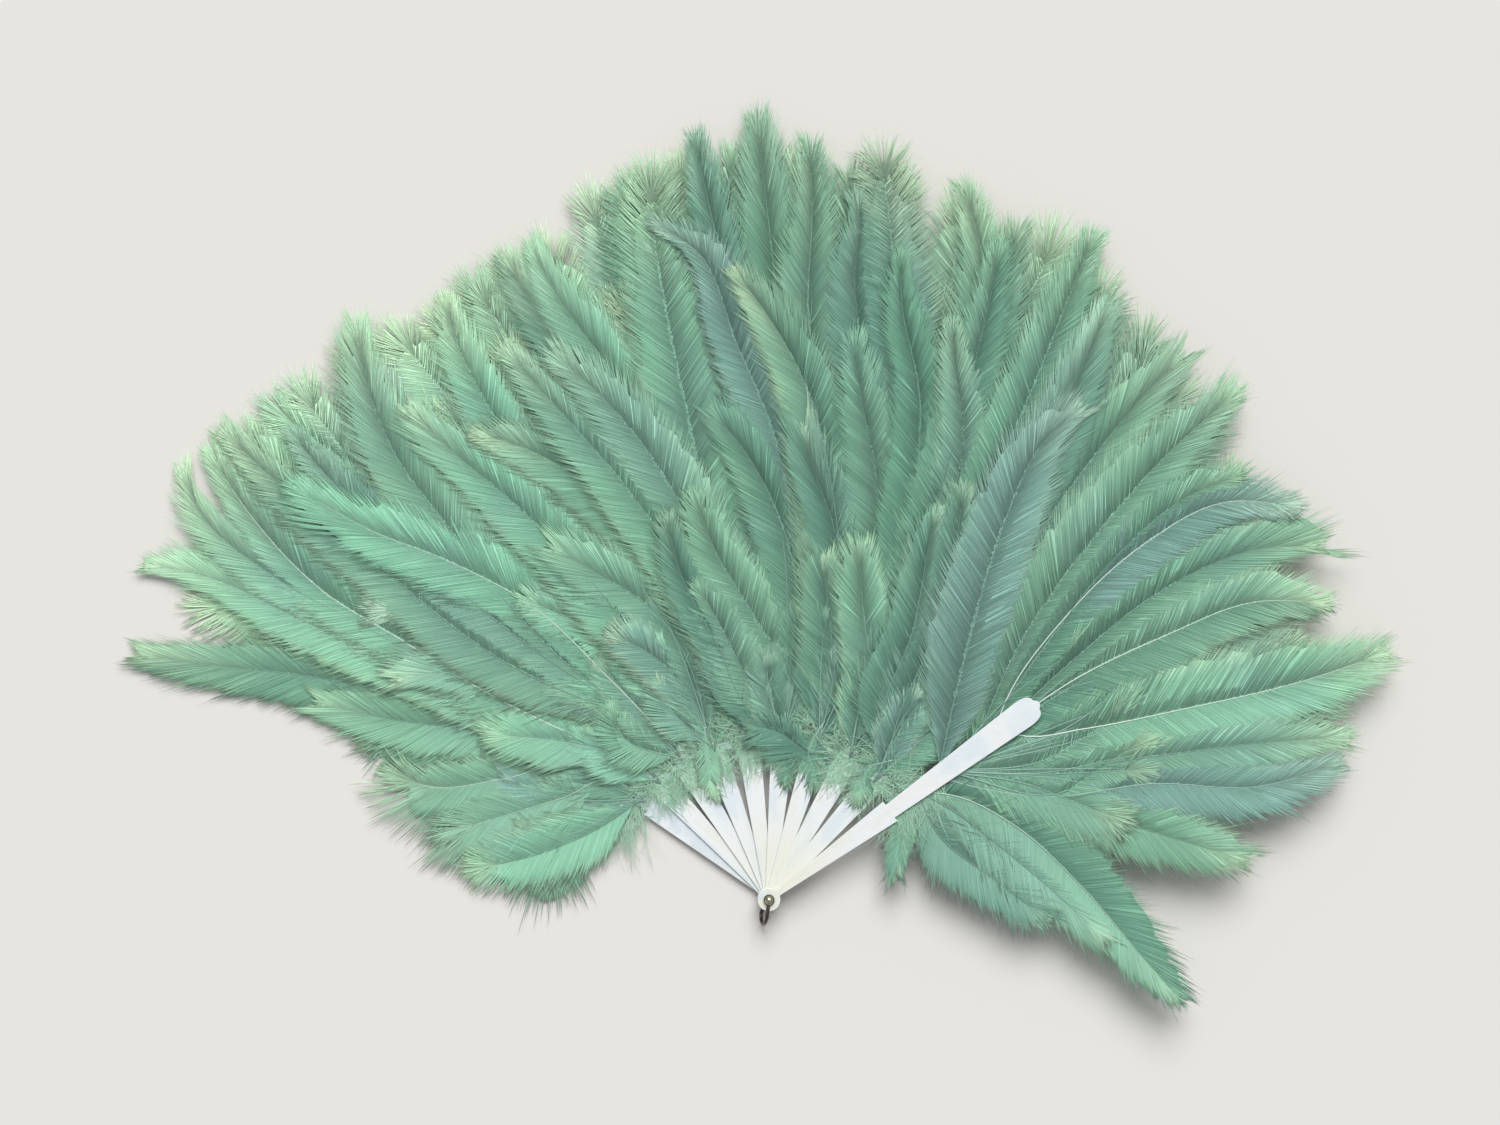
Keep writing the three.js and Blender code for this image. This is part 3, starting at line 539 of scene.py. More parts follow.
# Seen plumes by the solid that they stand for; each name begins with its body's
plumeTable = {
    "rear_guard_long": [plume((125, 652, 200, 664, 300, 676, 385, 692, 500, 725), (26, 22), 0.4, 0.9)],
    "rear_guard_mid": [plume((303, 700, 400, 722, 500, 732, 590, 745), 24, 0.45)],
    "rear_guard_short": [
        plume((385, 772, 430, 788, 502, 780, 600, 762), (34, 20), 0.5, 0.7, 0.9, brush=0.9)],
    "rear_guard_low": [
        plume((440, 835, 500, 818, 565, 798, 610, 780), (32, 22), 0.5, 0.7, 0.6, brush=0.8),
        plume((464, 872, 530, 858, 600, 828), (22, 24), 0.5, 0.8, brush=0.9, root=97)],
    "stick_1_long": [plume((130, 562, 210, 578, 300, 620, 400, 662, 520, 715), 24, 0.5, 0.8)],
    "stick_1_crest": [
        plume((178, 460, 200, 515, 270, 575, 360, 625, 500, 700), (20, 24), 0.5, 0.9),
        plume((205, 448, 245, 510, 320, 590, 400, 640, 480, 690, 560, 730), (20, 28), 0.65, 0.6, 1.0)],
    "stick_1_mid": [
        plume((365, 612, 450, 610, 500, 628, 580, 680), (22, 24), 0.15, 0.4),
        plume((380, 683, 450, 672, 510, 682, 580, 710), 22, 0.5)],
    "stick_1_short": [plume((480, 735, 560, 741, 620, 755), 22, 0.45)],
    "stick_2_long": [plume((215, 425, 290, 495, 370, 560, 500, 660), 24, 0.5, 0.9)],
    "stick_2_crest": [
        plume((280, 420, 330, 480, 400, 540, 520, 640), 24, 0.3, 0.5),
        plume((355, 318, 368, 390, 395, 455, 450, 530, 550, 650), 26, 0.6, 0.7)],
    "stick_2_mid": [plume((290, 485, 370, 530, 450, 562, 530, 605, 610, 680), 26, 1.0, 0.5, 0.8)],
    "stick_2_short": [plume((508, 592, 580, 625, 645, 668, 675, 715), (22, 24), 0.4)],
    "stick_3_long": [plume((440, 285, 462, 355, 490, 410, 560, 520, 640, 640), 26, 0.5, 0.7)],
    "stick_3_mid": [
        plume((402, 400, 440, 440, 510, 500, 590, 580, 660, 670), 25, 0.6, 0.5),
        plume((460, 428, 540, 455, 600, 495, 650, 545, 690, 640), 25, 0.45)],
    "stick_3_short": [
        plume((540, 540, 600, 575, 655, 612, 695, 680), 24, 0.45),
        plume((598, 630, 650, 654, 695, 705), 20, 0.4)],
    "stick_4_long": [
        plume((500, 250, 550, 330, 600, 400, 690, 560), 25, 0.5, 0.7),
        plume((525, 235, 560, 300, 610, 370, 690, 520), 25, 0.55, 0.7)],
    "stick_4_crest": [plume((650, 168, 655, 240, 668, 320, 695, 450, 725, 600), 30, 0.55, 0.9, brush=1.0)],
    "stick_4_mid": [
        plume((500, 345, 550, 400, 620, 480, 700, 600), 24, 0.4),
        plume((548, 352, 600, 395, 650, 455, 705, 560, 735, 660), 25, 0.35)],
    "stick_5_long": [plume((757, 115, 766, 200, 775, 280, 785, 400, 795, 560), 27, 0.5, 0.4, shade=0.15)],
    "stick_5_crest": [
        plume((692, 125, 708, 200, 725, 270, 755, 400, 785, 560), 23, 0.3, 0.6),
        plume((640, 215, 700, 255, 735, 340, 775, 440, 795, 580), (22, 26), 0.0, 0.4)],
    "stick_5_mid": [
        plume((700, 400, 740, 445, 780, 520, 800, 640), 24, 0.4),
        plume((690, 485, 715, 550, 750, 610, 785, 670, 795, 730), (24, 22), 0.55),
        plume((665, 505, 678, 565, 715, 640, 765, 720), 16, 0.2),
        plume((690, 570, 720, 625, 765, 705), 18, 0.35)],
    "stick_6_long": [
        plume((810, 138, 812, 220, 808, 300, 820, 420, 830, 560), 25, 0.5, 0.4, shade=0.15),
        plume((850, 185, 860, 220, 855, 270, 862, 370, 850, 560), 26, 0.35, 0.4, 0.0, shade=0.3)],
    "stick_6_crest": [
        plume((880, 145, 890, 230, 898, 330, 880, 520), 31, 0.6, 0.9, brush=1.0),
        plume((727, 262, 770, 320, 805, 385, 830, 480, 840, 600), 25, 0.45, 0.6, shade=0.2)],
    "stick_6_mid": [
        plume((800, 415, 812, 465, 838, 545, 840, 650), (22, 24), 0.25, 0.4, 0.1),
        plume((850, 328, 862, 400, 875, 480, 872, 580, 850, 690), (24, 26), 0.35, 0.4, 0.0)],
    "stick_6_short": [
        plume((735, 721, 780, 733, 815, 755), (20, 10), 0.4, web=0.3, brush=1.0),
        plume((822, 543, 827, 600, 834, 670, 835, 730), 22, 0.4)],
    "stick_7_long": [
        plume((962, 180, 980, 250, 978, 340, 930, 520), 27, 0.5, 0.8),
        plume((900, 240, 902, 310, 918, 390, 910, 520), 22, 0.5, 0.5)],
    "stick_7_crest": [
        plume((1018, 220, 1005, 280, 985, 370, 930, 560), 26, 0.5, 0.8),
        plume((1000, 235, 993, 280, 972, 370, 925, 540), (22, 24), 0.2, 0.5, 0.1)],
    "stick_7_mid": [
        plume((950, 308, 954, 360, 962, 440, 935, 560, 895, 690), 22, 0.35, 0.4, 0.0),
        plume((858, 535, 861, 590, 868, 680), 20, 0.35),
        plume((905, 618, 902, 660, 885, 730), 18, 0.3)],
    "stick_8_long": [plume((1098, 226, 1075, 280, 1045, 355, 960, 560), 26, 0.5, 0.8)],
    "stick_8_crest": [
        plume((1188, 348, 1130, 410, 1060, 500, 980, 630), 28, 0.5, 0.8),
        plume((1110, 300, 1090, 345, 1060, 415, 1015, 510, 950, 640), (24, 28), 0.35, 0.5, 0.1)],
    "stick_8_mid": [
        plume((940, 495, 930, 535, 912, 630, 880, 730), 20, 0.35),
        plume((962, 475, 955, 545, 935, 630, 895, 725), 20, 0.3)],
    "front_guard_left": [
        plume((1087, 403, 1040, 445, 1005, 515, 978, 600, 955, 690, 943, 745), 28, 0.05, 0.3)],
    "front_guard_upper": [
        plume((1240, 388, 1170, 450, 1090, 540, 1020, 640), (28, 26), 0.5, 0.8),
        plume((1250, 470, 1180, 500, 1110, 560, 1040, 650), 24, 0.5, 0.8)],
    "front_guard_middle": [
        plume((1330, 546, 1250, 550, 1160, 590, 1065, 665), (24, 26), 0.5, 0.8),
        plume((1302, 507, 1220, 503, 1140, 545, 1060, 620, 1008, 692), (24, 26), 0.15, 0.5, 1.0)],
    "front_guard_long": [
        plume((1335, 603, 1250, 602, 1160, 636, 1070, 680), 26, 0.45, 0.8, 1.0, shade=0.4),
        plume((1390, 650, 1300, 680, 1180, 708, 1080, 728, 1022, 735), 32, 0.5, 0.6, 1.0, shade=0.4)],
    "front_guard_lower": [
        plume((1250, 860, 1150, 830, 1050, 800, 980, 785), 26, 0.5, 0.8),
        plume((1350, 735, 1250, 742, 1150, 755, 1040, 770), (22, 26), 0.5, 0.8),
        plume((1350, 757, 1250, 785, 1150, 782, 1050, 795, 970, 785), (22, 26), 0.2, 0.5, 0.5, brush=0.05)],
    "front_guard_loose": [
        plume((905, 888, 898, 855, 905, 825), 9, 0.5, 0.8),
        plume((1110, 945, 1050, 888, 990, 838, 950, 808), 22, 0.3, 0.5),
        plume((1052, 925, 1000, 883, 935, 830), (24, 22), 0.2, 0.5),
        plume((1188, 1010, 1140, 955, 1080, 885, 1010, 822, 955, 795),
              (26, 24), 0.5, 0.7, 0.6, brush=0.02)],
}

# Front guard: where its plumes are glued, mm from the rivet, and their levels under it
frontRoots = {
    "left": (125, 0.55), "upper": (150, 0.4), "middle": (165, 0.3), "long": (172, 0.2), "lower": (125, 0.12),
    "loose": (110, 0.3),
}

# Outline of the plumes in photo pixels; the plumes behind reach to it
outlinePixels = (
    1048, 915, 1122, 868, 1250, 862, 1350, 755, 1390, 650, 1335, 603, 1330, 545, 1300, 500, 1250, 465,
    1240, 390, 1188, 348, 1120, 275, 1098, 228, 1020, 222, 962, 180, 900, 143, 830, 135, 757, 115, 692, 128,
    610, 165, 525, 215, 440, 285, 355, 318, 250, 390, 200, 445, 150, 520, 130, 562, 125, 652, 300, 710,
    385, 775, 440, 838, 470, 876,
)
# Plumes behind the seen ones: share of the outline, degrees off the stick, level in the layer, row
fillRows = [(0.985, (-5, -1.5, 2, 5.5), 0.05, 0), (0.86, (-4, 1, 5), 0.18, 0), (0.7, (-5, 0), 0.3, 1)]
guardSpread = {0: (2, 7, 12, 17, 22, 27, 33), lastStick: (3, -2, -7, -11, -15, -19, -24)}
fillShape = {
    "turn": 0.8, "trim": 0.94, "short": (0, 12), "least": 140, "bend": 0.05, "straight": 0.35,
    "width": (26, 33), "tone": (0.3, 0.65), "brush": (0.5, 1), "pale": (0.6, 1), "bare": (0.45, 0.1),
}
fillLook = {"quill": 0.3, "root": 130, "puff": 0, "spacing": 0.72, "coarse": 1.2}


# Distance of the outline from the rivet in a direction
def outlineReach(degrees):
    tips = fromPhoto(outlinePixels)
    return np.interp(degrees, np.degrees(np.arctan2(tips[:, 1], tips[:, 0])), distanceOf(tips))


def drawn(draw, shape, *keys):
    return {key: draw.uniform(*shape[key]) for key in keys}


def fillPlumes(stick, draw):
    shape = fillShape
    trim = shape["trim"] if stick in guardSpread else 1
    made = []
    for share, spread, level, row in fillRows:
        for offset in guardSpread.get(stick, spread):
            turn = fan["angles"][stick] + offset + draw.normal(0, shape["turn"])
            reach = outlineReach(turn) * share * trim - draw.uniform(*shape["short"])
            if reach < shape["least"]:
                continue
            way = wayOf(math.radians(turn))
            tip = way * reach
            middle = (tip + stickPoint(stick, fillLook["root"])) / 2
            middle = middle + leftOf(way) * draw.normal(0, shape["bend"]) * reach
            made.append({
                "route": np.array([tip, between((middle, tip), shape["straight"]), middle]),
                "width": draw.uniform(*shape["width"], 2), **drawn(draw, shape, "tone", "brush", "pale"),
                "level": level, "row": row, "bare": shape["bare"][stick == lastStick], **fillLook,
            })
    return made


# Short covers round the shoulders: tips by direction off the stick and distance from the rivet
coverShape = {
    "spread": (-4.5, -1, 3, 6), "rearSpread": (0, 4, 9, 14, 20), "turn": 1, "tip": (150, 205),
    "root": (94, 101), "bend": 4, "width": (13, 18), "tone": (0.3, 0.6), "pale": (0.3, 0.8),
    "level": (0.75, 0.95),
}
# Covers whose tips hang down over a stick, in photo pixels
hangingCovers = {
    3: (722, 806, 712, 788, 708, 765), 5: (782, 796, 786, 778, 784, 757),
    6: (808, 797, 814, 775, 808, 752), 8: (852, 808, 862, 785, 868, 768),
}
hangingLook = {"root": 112, "level": 0.8, "puff": 0, "arch": 0.0, "web": 0.2, "brush": 1.0, "spacing": 0.8}


def coverPlumes(stick, draw):
    shape = coverShape
    made = []
    for offset in shape["spread"] if stick else shape["rearSpread"]:
        way = wayOf(math.radians(fan["angles"][stick] + offset + draw.normal(0, shape["turn"])))
        tip, root = draw.uniform(*shape["tip"]), draw.uniform(*shape["root"])
        middle = way * (tip + root) / 2 + leftOf(way) * draw.normal(0, shape["bend"])
        made.append({
            "route": np.array([way * tip, middle]), "root": root, "width": draw.uniform(*shape["width"], 2),
            **drawn(draw, shape, "tone", "pale", "level"), "quill": 0.3, "puff": 0, "web": 0.4,
        })
    if stick in hangingCovers:
        made.append(plume(hangingCovers[stick], 8, 0.45, 0.9, 0.5, **hangingLook))
    return made


# Down at the shoulders. Each kind: strands, roots in mm from the rivet and degrees off the stick, scatter of
# these, length, heading off the stick's direction and its scatter, scatter of the curl, height in the layer
downKinds = {
    "curly": (220, (91.5, 112), 0, 6.2, (9, 24), 0, 75, 110, (0.75, 2.2)),
    "hanging": (180, (84, 99), 0, 4.6, (8, 21), 180, 30, 45, (1.0, 1.4)),
    "beside": (160, (91.5, 112), -7.5, 4, (9, 22), 0, 75, 110, (1.6, 2.5)),
    "drooping": (380, (92, 150), 6, 6, (16, 42), 112, 20, 30, (0.2, 0.9)),
    "trailing": (260, (90, 128), 0, 2.5, (16, 40), -125, 24, 40, (0.4, 1.0)),
}
downByStick = {
    0: ("curly", "drooping"), lastStick - 1: ("curly", "hanging", "beside"), lastStick: ("trailing",),
}
# Strands of all kinds; curly ones lie on the stick out to its shoulder, at the height bed
downShape = {
    "stations": 6, "curlPower": 1.5, "width": 0.34, "taper": 0.35, "widths": (0.6, 1.4), "shade": (0.1, 0.95),
    "hairlines": 40, "dye": (0.6, 0.8, 0.85), "roll": 0.3, "bed": 0.95, "bedding": (70, 96), "root": 0.45,
}


# Strands that set out at a heading and curl evenly as they go
def addDown(gather, stick, kind, seed):
    draw = np.random.default_rng(seed)
    n, roots, aside, spread, lengths, off, scatter, curl, rises = downKinds[kind]
    shape = downShape
    stations = steps(shape["stations"])
    count = len(stations)
    turn = np.radians(fan["angles"][stick] + aside + draw.uniform(-1, 1, n) * spread)
    root = wayOf(turn) * draw.uniform(*roots, n)[:, None]
    heading = (turn + np.radians(off + draw.normal(0, scatter, n)))[:, None]
    heading = heading + np.radians(draw.normal(0, curl, n))[:, None] * stations ** shape["curlPower"]
    step = wayOf(heading) * (draw.uniform(*lengths, n) / (count - 1))[:, None, None]
    plan = root[:, None] + np.concatenate([np.zeros((n, 1, 2)), np.cumsum(step[:, :-1], 1)], 1)
    distance = distanceOf(plan)
    rise = draw.uniform(*rises, n)[:, None]
    if kind == "curly":
        free = rise * between((shape["root"], 1), stations)
        rise = between((shape["bed"], free), smooth(*shape["bedding"], distance))
    height = layerHeight(stick, distance) + rise
    wide = shape["width"] * np.linspace(1, shape["taper"], count) * draw.uniform(*shape["widths"], (n, 1))
    shade = np.tile(draw.uniform(*shape["shade"], (n, 1)), count)
    barb = np.stack([np.tile(stations, (n, 1)), shape["hairlines"] * shade, shade], 2)
    dye = np.tile(shape["dye"], (n, count, 1))
    addStrands(gather, 2, plan, height, wide, draw.normal(0, shape["roll"], n), barb, dye)


ribbonShape = {
    "setback": 2.5, "width": 5, "thickness": 0.22, "clearance": 0.2, "billow": 0.35, "waves": (3, 0.4),
    "ribs": 100, "grid": (25, 6),
}


# Link ribbon: an arc from the front of one rib round to the back of the next, billowing between them
def addRibbon(gather, stick):
    shape = ribbonShape
    rows, columns = shape["grid"]
    t, u = np.meshgrid(steps(rows), steps(columns), indexing="ij")
    turn = np.radians(between(fan["angles"][stick:stick + 2], t))
    distance = fan["shoulder"] + shape["setback"] + shape["width"] * u
    low = layerHeight(stick, distance) + fan["ribThickness"] + shape["clearance"] + shape["thickness"]
    high = layerHeight(stick + 1, distance) - shape["clearance"]
    waves = np.sin(2 * np.pi * (shape["waves"][0] * t + shape["waves"][1] * u))
    height = between((low, high), t) + shape["billow"] * np.sin(np.pi * t) ** 2 * waves
    grid = lifted(distance[..., None] * wayOf(turn), height)[:, ::-1]
    barb = np.stack([u, shape["ribs"] * t, 0 * t + 0.5], 2)[:, ::-1]
    addSheet(gather, 0, grid, shape["thickness"], barb, np.stack([t, u, 0 * t], 2)[:, ::-1])
    first, last = grid[0, columns // 2], grid[-1, columns // 2]
    return first * mm, unit(last - first)


# Nodes of one tree: each method adds a node and gives its output
class NodeNet:
    def __init__(self, tree):
        self.tree = tree

    def feed(self, inputs, values):
        for key, value in values.items():
            socket = inputs[key]
            if isinstance(value, (int, float)):
                socket.default_value = value
            elif isinstance(value, tuple):
                socket.default_value = (*value, 1)
            else:
                self.tree.links.new(value, socket)

    def add(self, kind, inputs, **values):
        node = self.tree.nodes.new(kind)
        for key, value in values.items():
            setattr(node, key, value)
        self.feed(node.inputs, inputs)
        return node.outputs

    def place(self):
        return self.add("ShaderNodeTexCoord", {})["Object"]

    def parts(self, vector):
        return self.add("ShaderNodeSeparateXYZ", {0: vector})

    def attribute(self, name):
        return self.parts(self.add("ShaderNodeAttribute", {}, attribute_name=name)["Vector"])

    def ramp(self, value, stops):
        node = self.tree.nodes.new("ShaderNodeValToRGB")
        elements = node.color_ramp.elements
        while len(elements) < len(stops):
            elements.new(0.5)
        for element, (at, colour) in zip(elements, stops):
            element.position = at
            element.color = (*colour, 1)
        self.feed(node.inputs, {"Fac": value})
        return node.outputs["Color"]

    def math(self, operation, *values):
        return self.add("ShaderNodeMath", dict(enumerate(values)), operation=operation)["Value"]

    def times(self, product, *others):
        for value in others:
            product = self.math("MULTIPLY", product, value)
        return product

    # Smooth step between two values of the input, from one result to another
    def range(self, *values):
        inputs = dict(zip(("Value", "From Min", "From Max", "To Min", "To Max"), values))
        return self.add("ShaderNodeMapRange", inputs, interpolation_type="SMOOTHSTEP")["Result"]

    def mix(self, factor, a, b):
        node = self.tree.nodes.new("ShaderNodeMix")
        node.data_type = "RGBA"
        inputs, outputs = [{end.identifier: end for end in ends} for ends in (node.inputs, node.outputs)]
        self.feed(inputs, {"Factor_Float": factor, "A_Color": a, "B_Color": b})
        return outputs["Result_Color"]

    def noise(self, scale, detail, at, line=False):
        inputs = {"Scale": scale, "Detail": detail, "W" if line else "Vector": at}
        return self.add("ShaderNodeTexNoise", inputs, noise_dimensions="1D" if line else "3D")["Fac"]

    def relief(self, height, strength, distance):
        inputs = {"Height": height, "Strength": strength, "Distance": distance}
        return self.add("ShaderNodeBump", inputs)["Normal"]


def makeMaterial(name, look, *values):
    material = bpy.data.materials.new(name)
    material.use_nodes = True
    net = NodeNet(material.node_tree)
    net.feed(material.node_tree.nodes["Principled BSDF"].inputs, look(net, *values))
    return material


dyeAndShadeColours = {
    "grey": (0.262, 0.485, 0.425), "green": (0.295, 0.605, 0.4), "bright": (0.29, 0.68, 0.455),
    "paintedShade": (0.165, 0.47, 0.325), "fringe": (0.6, 0.79, 0.51), "mottle": (0.27, 0.54, 0.42),
    "vane": (0.255, 0.485, 0.37), "down": (0.52, 0.8, 0.63),
}


# Dye and painted light: tone by plume, greyer on the smooth vane, paler and yellower to the fringe and tip
# with a painted highlight there, painted shade as deep teal where the shade is low and towards the plume's
# root, a brightness of its own for each barb, and hairlines along the barbs; the height is their relief
def dyeAndShadeGroup():
    tree = bpy.data.node_groups.new("plumeDyeAndShade", "ShaderNodeTree")
    tree.interface.new_socket("Colour", in_out="OUTPUT", socket_type="NodeSocketColor")
    tree.interface.new_socket("Height", in_out="OUTPUT", socket_type="NodeSocketFloat")
    net = NodeNet(tree)
    along, base, shade = net.attribute("barb")
    tone, pale, quillAt = net.attribute("dye")
    colour = net.ramp(tone, [(0, dyeAndShadeColours["grey"]), (0.5, dyeAndShadeColours["green"]), (1, dyeAndShadeColours["bright"])])
    patch = net.range(net.noise(22, 3, net.place()), 0.42, 0.68, 0, 0.6)
    colour = net.mix(patch, colour, dyeAndShadeColours["mottle"])
    colour = net.mix(net.range(along, 0.1, 0.6, 0.3, 0), colour, dyeAndShadeColours["vane"])
    # paler, yellower fringe and tip: real fading, and a painted highlight where thin barb ends catch the
    # light
    fringe = net.times(net.range(along, 0.5, 1, 0, 0.6), pale)
    tip = net.times(net.range(quillAt, 0.7, 1.05, 0, 0.9), pale)
    colour = net.mix(net.math("MAXIMUM", fringe, tip), colour, dyeAndShadeColours["fringe"])
    # painted shade: deep teal mixed in where the shade value is low, for the shadows between plumes
    colour = net.mix(net.range(shade, 0, 0.4, 0.55, 0), colour, dyeAndShadeColours["paintedShade"])
    lines = net.noise(0.85, 2, base, line=True)
    contrast = net.range(along, 0.1, 0.8, 0.35, 0.45)
    bright = net.math("ADD", net.times(net.math("SUBTRACT", lines, 0.5), contrast), 1.0)
    # brightness by the shade value; darker towards the plume's root: painted shade where other plumes cover
    # it, and dye held there
    bright = net.times(bright, net.range(shade, 0, 1, 0.74, 1.2), net.range(quillAt, 0.05, 0.6, 0.88, 1))
    # lighter near the quill, and lighter at the plume's tip, partly the fringe's painted highlight
    bright = net.times(bright, net.range(along, 0, 1, 1.14, 1.06), net.range(quillAt, 0.75, 1.05, 1, 1.15))
    scaled = net.add("ShaderNodeVectorMath", {0: colour, "Scale": bright}, operation="SCALE")[0]
    net.add("NodeGroupOutput", {"Colour": scaled, "Height": lines})
    return tree


plumeDyeAndShade = dyeAndShadeGroup()


def plumeLook(net, roughness, paleness):
    dye = net.add("ShaderNodeGroup", {}, node_tree=plumeDyeAndShade)
    return {
        "Base Color": net.mix(paleness, dye["Colour"], dyeAndShadeColours["down"]),
        "Normal": net.relief(dye["Height"], 0.35, 0.0003), "Roughness": roughness,
        "Specular IOR Level": 0.4, "Sheen Weight": 0.1, "Sheen Roughness": 0.5,
    }


def quillLook(net):
    stops = [(0, (0.08, 0.14, 0.13)), (0.35, (0.28, 0.48, 0.39)), (1, (0.68, 0.8, 0.7))]
    return {"Base Color": net.ramp(net.attribute("dye")[0], stops), "Roughness": 0.4}


def paperLook(net):
    return {"Base Color": (0.72, 0.7, 0.66), "Roughness": 0.9}


# Pearl: clouds and streaks along each stick, in polar places about the rivet; cool white, creamy near the
# rivet, marbled grey-blue on the rear guard, with a few veins on the front guard's extension
def pearlLook(net):
    place = net.place()
    x, y, z = net.parts(place)
    turn = net.math("ARCTAN2", y, x)
    away = net.math("SQRT", net.math("ADD", net.times(x, x), net.times(y, y)))
    scaled = {0: net.times(turn, 1.6), 1: net.times(away, 9.0), 2: net.times(z, 60.0)}
    polar = net.add("ShaderNodeCombineXYZ", scaled)[0]
    streaks = net.noise(22, 4, polar)
    colour = net.ramp(net.noise(3.2, 2, polar), [
        (0.36, (0.69, 0.75, 0.78)), (0.47, (0.77, 0.81, 0.81)),
        (0.58, (0.79, 0.8, 0.79)), (0.7, (0.755, 0.78, 0.72)),
    ])
    colour = net.mix(net.range(streaks, 0.5, 0.75, 0, 0.4), colour, (0.66, 0.72, 0.75))
    marbling = net.range(net.noise(60, 3, place), 0.42, 0.62, 0, 0.75)
    colour = net.mix(net.times(marbling, net.range(turn, 2.38, 2.42, 0, 1)), colour, (0.6, 0.67, 0.71))
    warm = net.times(net.range(away, 0.015, 0.07, 0.6, 0), net.range(turn, 1.6, 2.2, 1, 0.3))
    colour = net.mix(warm, colour, (0.77, 0.76, 0.62))
    vein = net.math("ABSOLUTE", net.math("SUBTRACT", net.noise(55, 0, place), 0.5))
    onFront = net.times(net.range(turn, 0.75, 0.8, 1, 0), net.range(away, 0.1, 0.12, 0, 0.35))
    onFront = net.times(onFront, net.range(away, 0.15, 0.17, 1, 0))
    colour = net.mix(net.times(net.range(vein, 0, 0.006, 1, 0), onFront), colour, (0.6, 0.63, 0.62))
    return {
        "Base Color": colour, "Roughness": net.range(streaks, 0.3, 0.7, 0.36, 0.5),
        "Normal": net.relief(streaks, 0.25, 0.0004), "Specular IOR Level": 0.3,
        "Coat Weight": 0.08, "Coat Roughness": 0.25,
    }


# Metal: two colours in worn patches, with fine scratches in the roughness and relief
def metalLook(net, dark, worn, roughness):
    place = net.place()
    scratches = net.noise(2400, 2, place)
    return {
        "Base Color": net.mix(net.range(net.noise(420, 3, place), 0.42, 0.66, 0, 1), dark, worn),
        "Roughness": net.range(scratches, 0.3, 0.7, roughness - 0.08, roughness + 0.14),
        "Normal": net.relief(scratches, 0.2, 0.0001), "Metallic": 1.0,
    }


# Silk: ribs across the ribbon by its own attribute, paler at the edge
def silkLook(net):
    across, along, _ = net.attribute("barb")
    ribs = net.math("SINE", net.times(along, 4.0))
    tint = net.mix(net.range(ribs, -1, 1, 0, 1), (0.38, 0.6, 0.5), (0.55, 0.76, 0.66))
    return {
        "Base Color": net.mix(net.range(across, 0.86, 1, 0, 0.6), tint, (0.66, 0.82, 0.72)),
        "Normal": net.relief(ribs, 0.5, 0.0002), "Roughness": 0.45, "Sheen Weight": 0.3,
    }


feathers = [
    makeMaterial("dyedVane", plumeLook, 0.52, 0.0), makeMaterial("dyedQuill", quillLook),
    makeMaterial("dyedDown", plumeLook, 0.85, 0.45),
]
pearl = makeMaterial("motherOfPearl", pearlLook)
metal = makeMaterial("rivetMetal", metalLook, (0.34, 0.33, 0.25), (0.62, 0.58, 0.42), 0.28)
darkMetal = makeMaterial("loopMetal", metalLook, (0.10, 0.08, 0.07), (0.22, 0.19, 0.17), 0.3)
silk = makeMaterial("ribbonSilk", silkLook)
print("materials", len(bpy.data.materials))

# A stick's plumes from first to last: levels in its layer, how far they puff up and where their roots lie, in
# mm; how light each stick's plumes are; what else a plume has unless it says so
plumePile = {"level": (0.42, 0.95), "puff": (0.5, 3.0), "root": (120, 104)}
stickShade = (0.44, 0.76, 0.6, 0.54, 0.4, 0.2, 0.14, 0.2, 0.34, 0.4)
plumeDefaults = {"arch": 1.2, "bare": 0.03, "spacing": 0.46, "coarse": 1.0, "brush": None, "web": 1.0}


def pileUp(stick, row, rows, group):
    for k, spec in enumerate(group):
        place = (row + (k + 0.5) / len(group)) / rows
        piled = {key: between(ends, place) for key, ends in plumePile.items()}
        spec.update({"stick": stick, "shade": stickShade[stick], **plumeDefaults, **piled, **spec})


# Pressing of a stick's plumes flat onto the slope of their rib as the fan closes; below, only its anchor on
# the rib is worked out
pressing = {"slope": 0.006, "anchor": 150, "keep": 0.35}
firstSeeds = {"plume": 100, "behind": 7, "cover": 40, "down": 70}

seed = firstSeeds["plume"]
plumeFaces = []
for stick, body in enumerate(fan["bodies"]):
    rows = [key for key in plumeTable if key.startswith(body)]
    behind = fillPlumes(stick, np.random.default_rng(stick + firstSeeds["behind"]))
    for row, key in enumerate(rows):
        group = plumeTable[key]
        if stick == lastStick:
            for spec in group:
                spec["root"], spec["level"] = frontRoots[key.split("_")[2]]
        inFront = row == len(rows) - 1
        hidden = [spec for spec in behind if min(spec["row"], len(rows) - 1) == row]
        covers = []
        if inFront and stick < lastStick:
            covers = coverPlumes(stick, np.random.default_rng(stick + firstSeeds["cover"]))
        for specs in (hidden, group, covers):
            pileUp(stick, row, len(rows), specs)
        gather = Gather()
        for spec in hidden + group + covers:
            addPlume(gather, spec, seed)
            seed += 1
        if inFront:
            for kind in downByStick.get(stick, ("curly", "hanging")):
                addDown(gather, stick, kind, stick + firstSeeds["down"])
        piece = gather.piece(f"{key}_feathers", feathers)
        plumeFaces.append(len(piece.data.polygons))
        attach(piece, body)
        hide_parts(f"{key}_plume")
        onRib = stickPoint(stick, pressing["anchor"])
        anchor = (*(onRib * mm), layerHeight(stick, pressing["anchor"]) * mm)
        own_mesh(piece)
print("plumes", seed - firstSeeds["plume"], "triangles", sum(plumeFaces), "largest piece", max(plumeFaces))

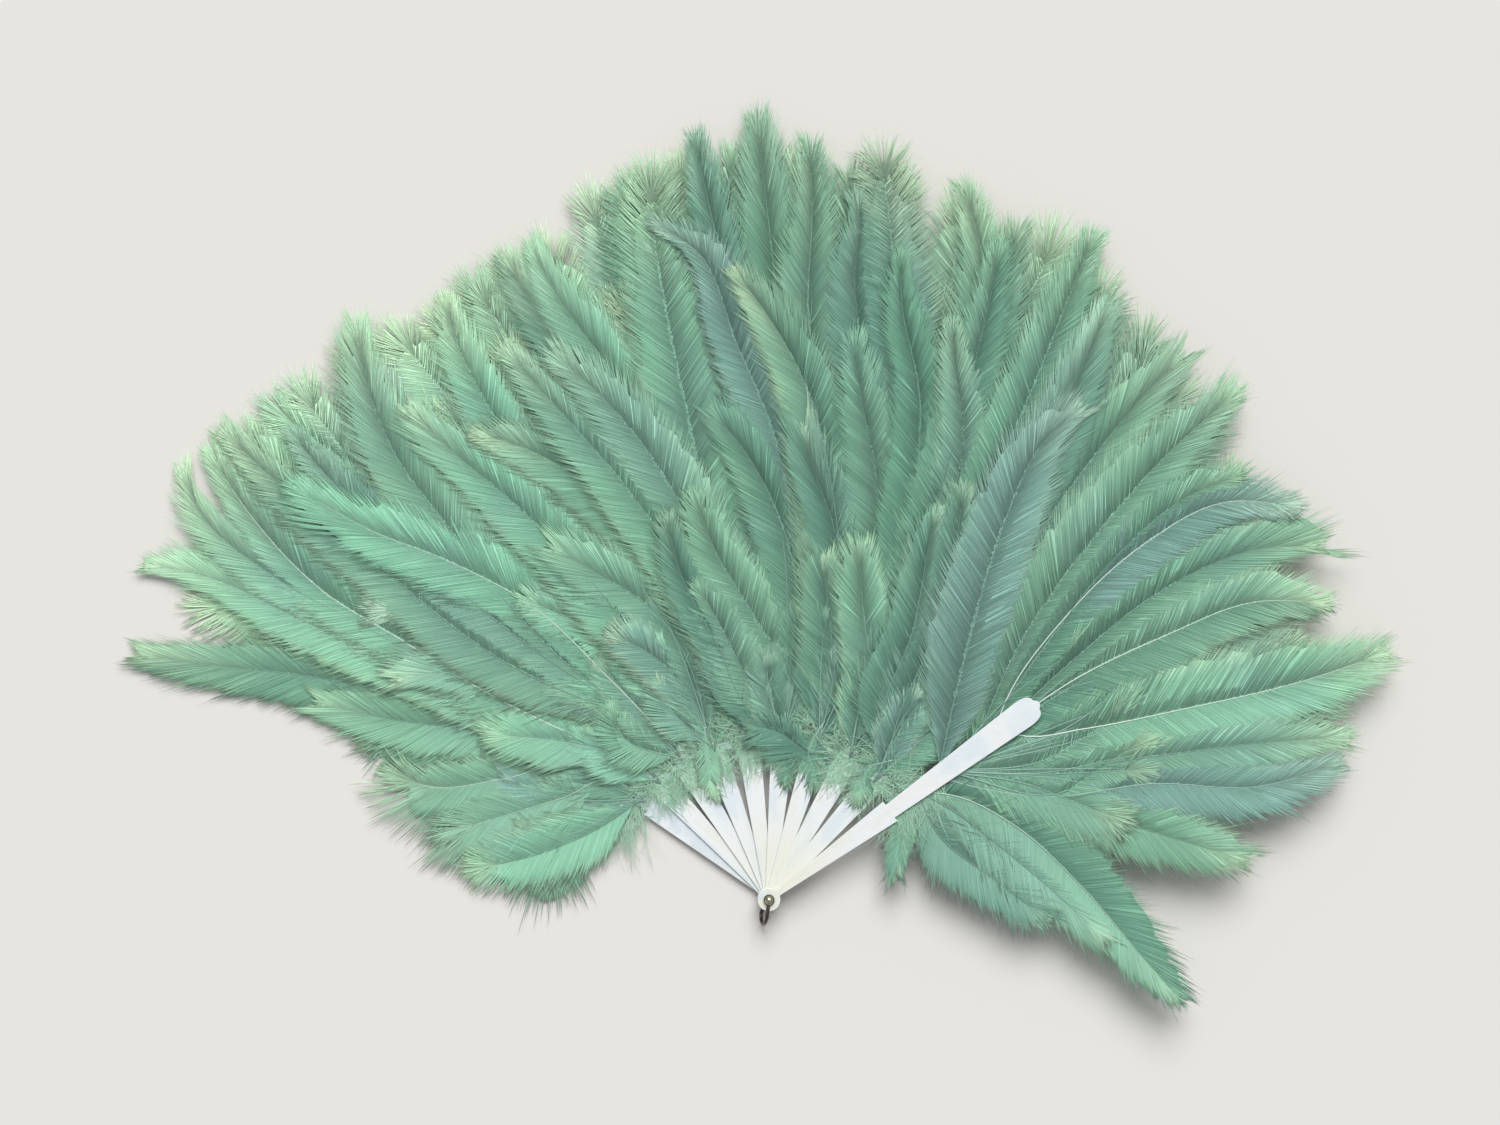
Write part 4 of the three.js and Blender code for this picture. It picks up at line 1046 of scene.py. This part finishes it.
for stick in range(lastStick):
    gather = Gather()
    anchor, way = addRibbon(gather, stick)
    piece = gather.piece(f"silk_ribbon_{stick + 1}", [silk])
    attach(piece, fan["bodies"][stick])
    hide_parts(f"link_ribbon_{stick + 1}")
    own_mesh(piece)
print("ribbons", lastStick)

solidLooks = {body: pearl for body in fan["bodies"]}
solidLooks.update({name: metal for name in ("rivet_pin", "rear_washer", "front_washer")})
solidLooks["hanging_loop"] = darkMetal
for name, look in solidLooks.items():
    nodes[name].data.materials.clear()
    nodes[name].data.materials.append(look)
print("solids", len(solidLooks))

# Stage: a pale floor just under the part
floorShape = {"corners": ((-4, -4), (4, -4), (4, 4), (-4, 4)), "height": -0.0003}
corners = [(*corner, floorShape["height"]) for corner in floorShape["corners"]]
floorMesh = bpy.data.meshes.new("floor")
floorMesh.from_pydata(corners, [], [(0, 1, 2, 3)])
floorMesh.materials.append(makeMaterial("floorPaper", paperLook))
floor = addObject("floor", floorMesh)

# Camera straight over the photo's middle, its frame as wide as the photo at the height of the plumes
view = {"height": 1.7, "plumes": 0.012, "sensor": 36}
centre = fromPhoto(photoScale["centre"])[0] * mm
camera = addObject("camera", bpy.data.cameras.new("camera"))
camera.location = (centre[0], centre[1], view["height"])
camera.data.sensor_width = view["sensor"]
frameWidth = photoScale["width"] * photoScale["mmPerPixel"] * mm
camera.data.lens = view["sensor"] * (view["height"] - view["plumes"]) / frameWidth
bpy.context.scene.camera = camera

# Soft light from a wide window beyond the plumes' tips, its direction in degrees, and the room's own light
window = {"turn": 83, "rise": 49, "spread": 40, "strength": 2.95}
room = {"Color": (0.95, 0.97, 1), "Strength": 0.42}
world = bpy.data.worlds.new("studio")
bpy.context.scene.world = world
world.use_nodes = True
NodeNet(world.node_tree).feed(world.node_tree.nodes["Background"].inputs, room)
lamp = addObject("window", bpy.data.lights.new("window", "SUN"))
lamp.data.angle = math.radians(window["spread"])
lamp.data.energy = window["strength"]
lamp.rotation_euler = (math.radians(90 - window["rise"]), 0, math.radians(window["turn"] + 90))
bpy.context.scene.view_settings.view_transform = "Standard"
print("stage")
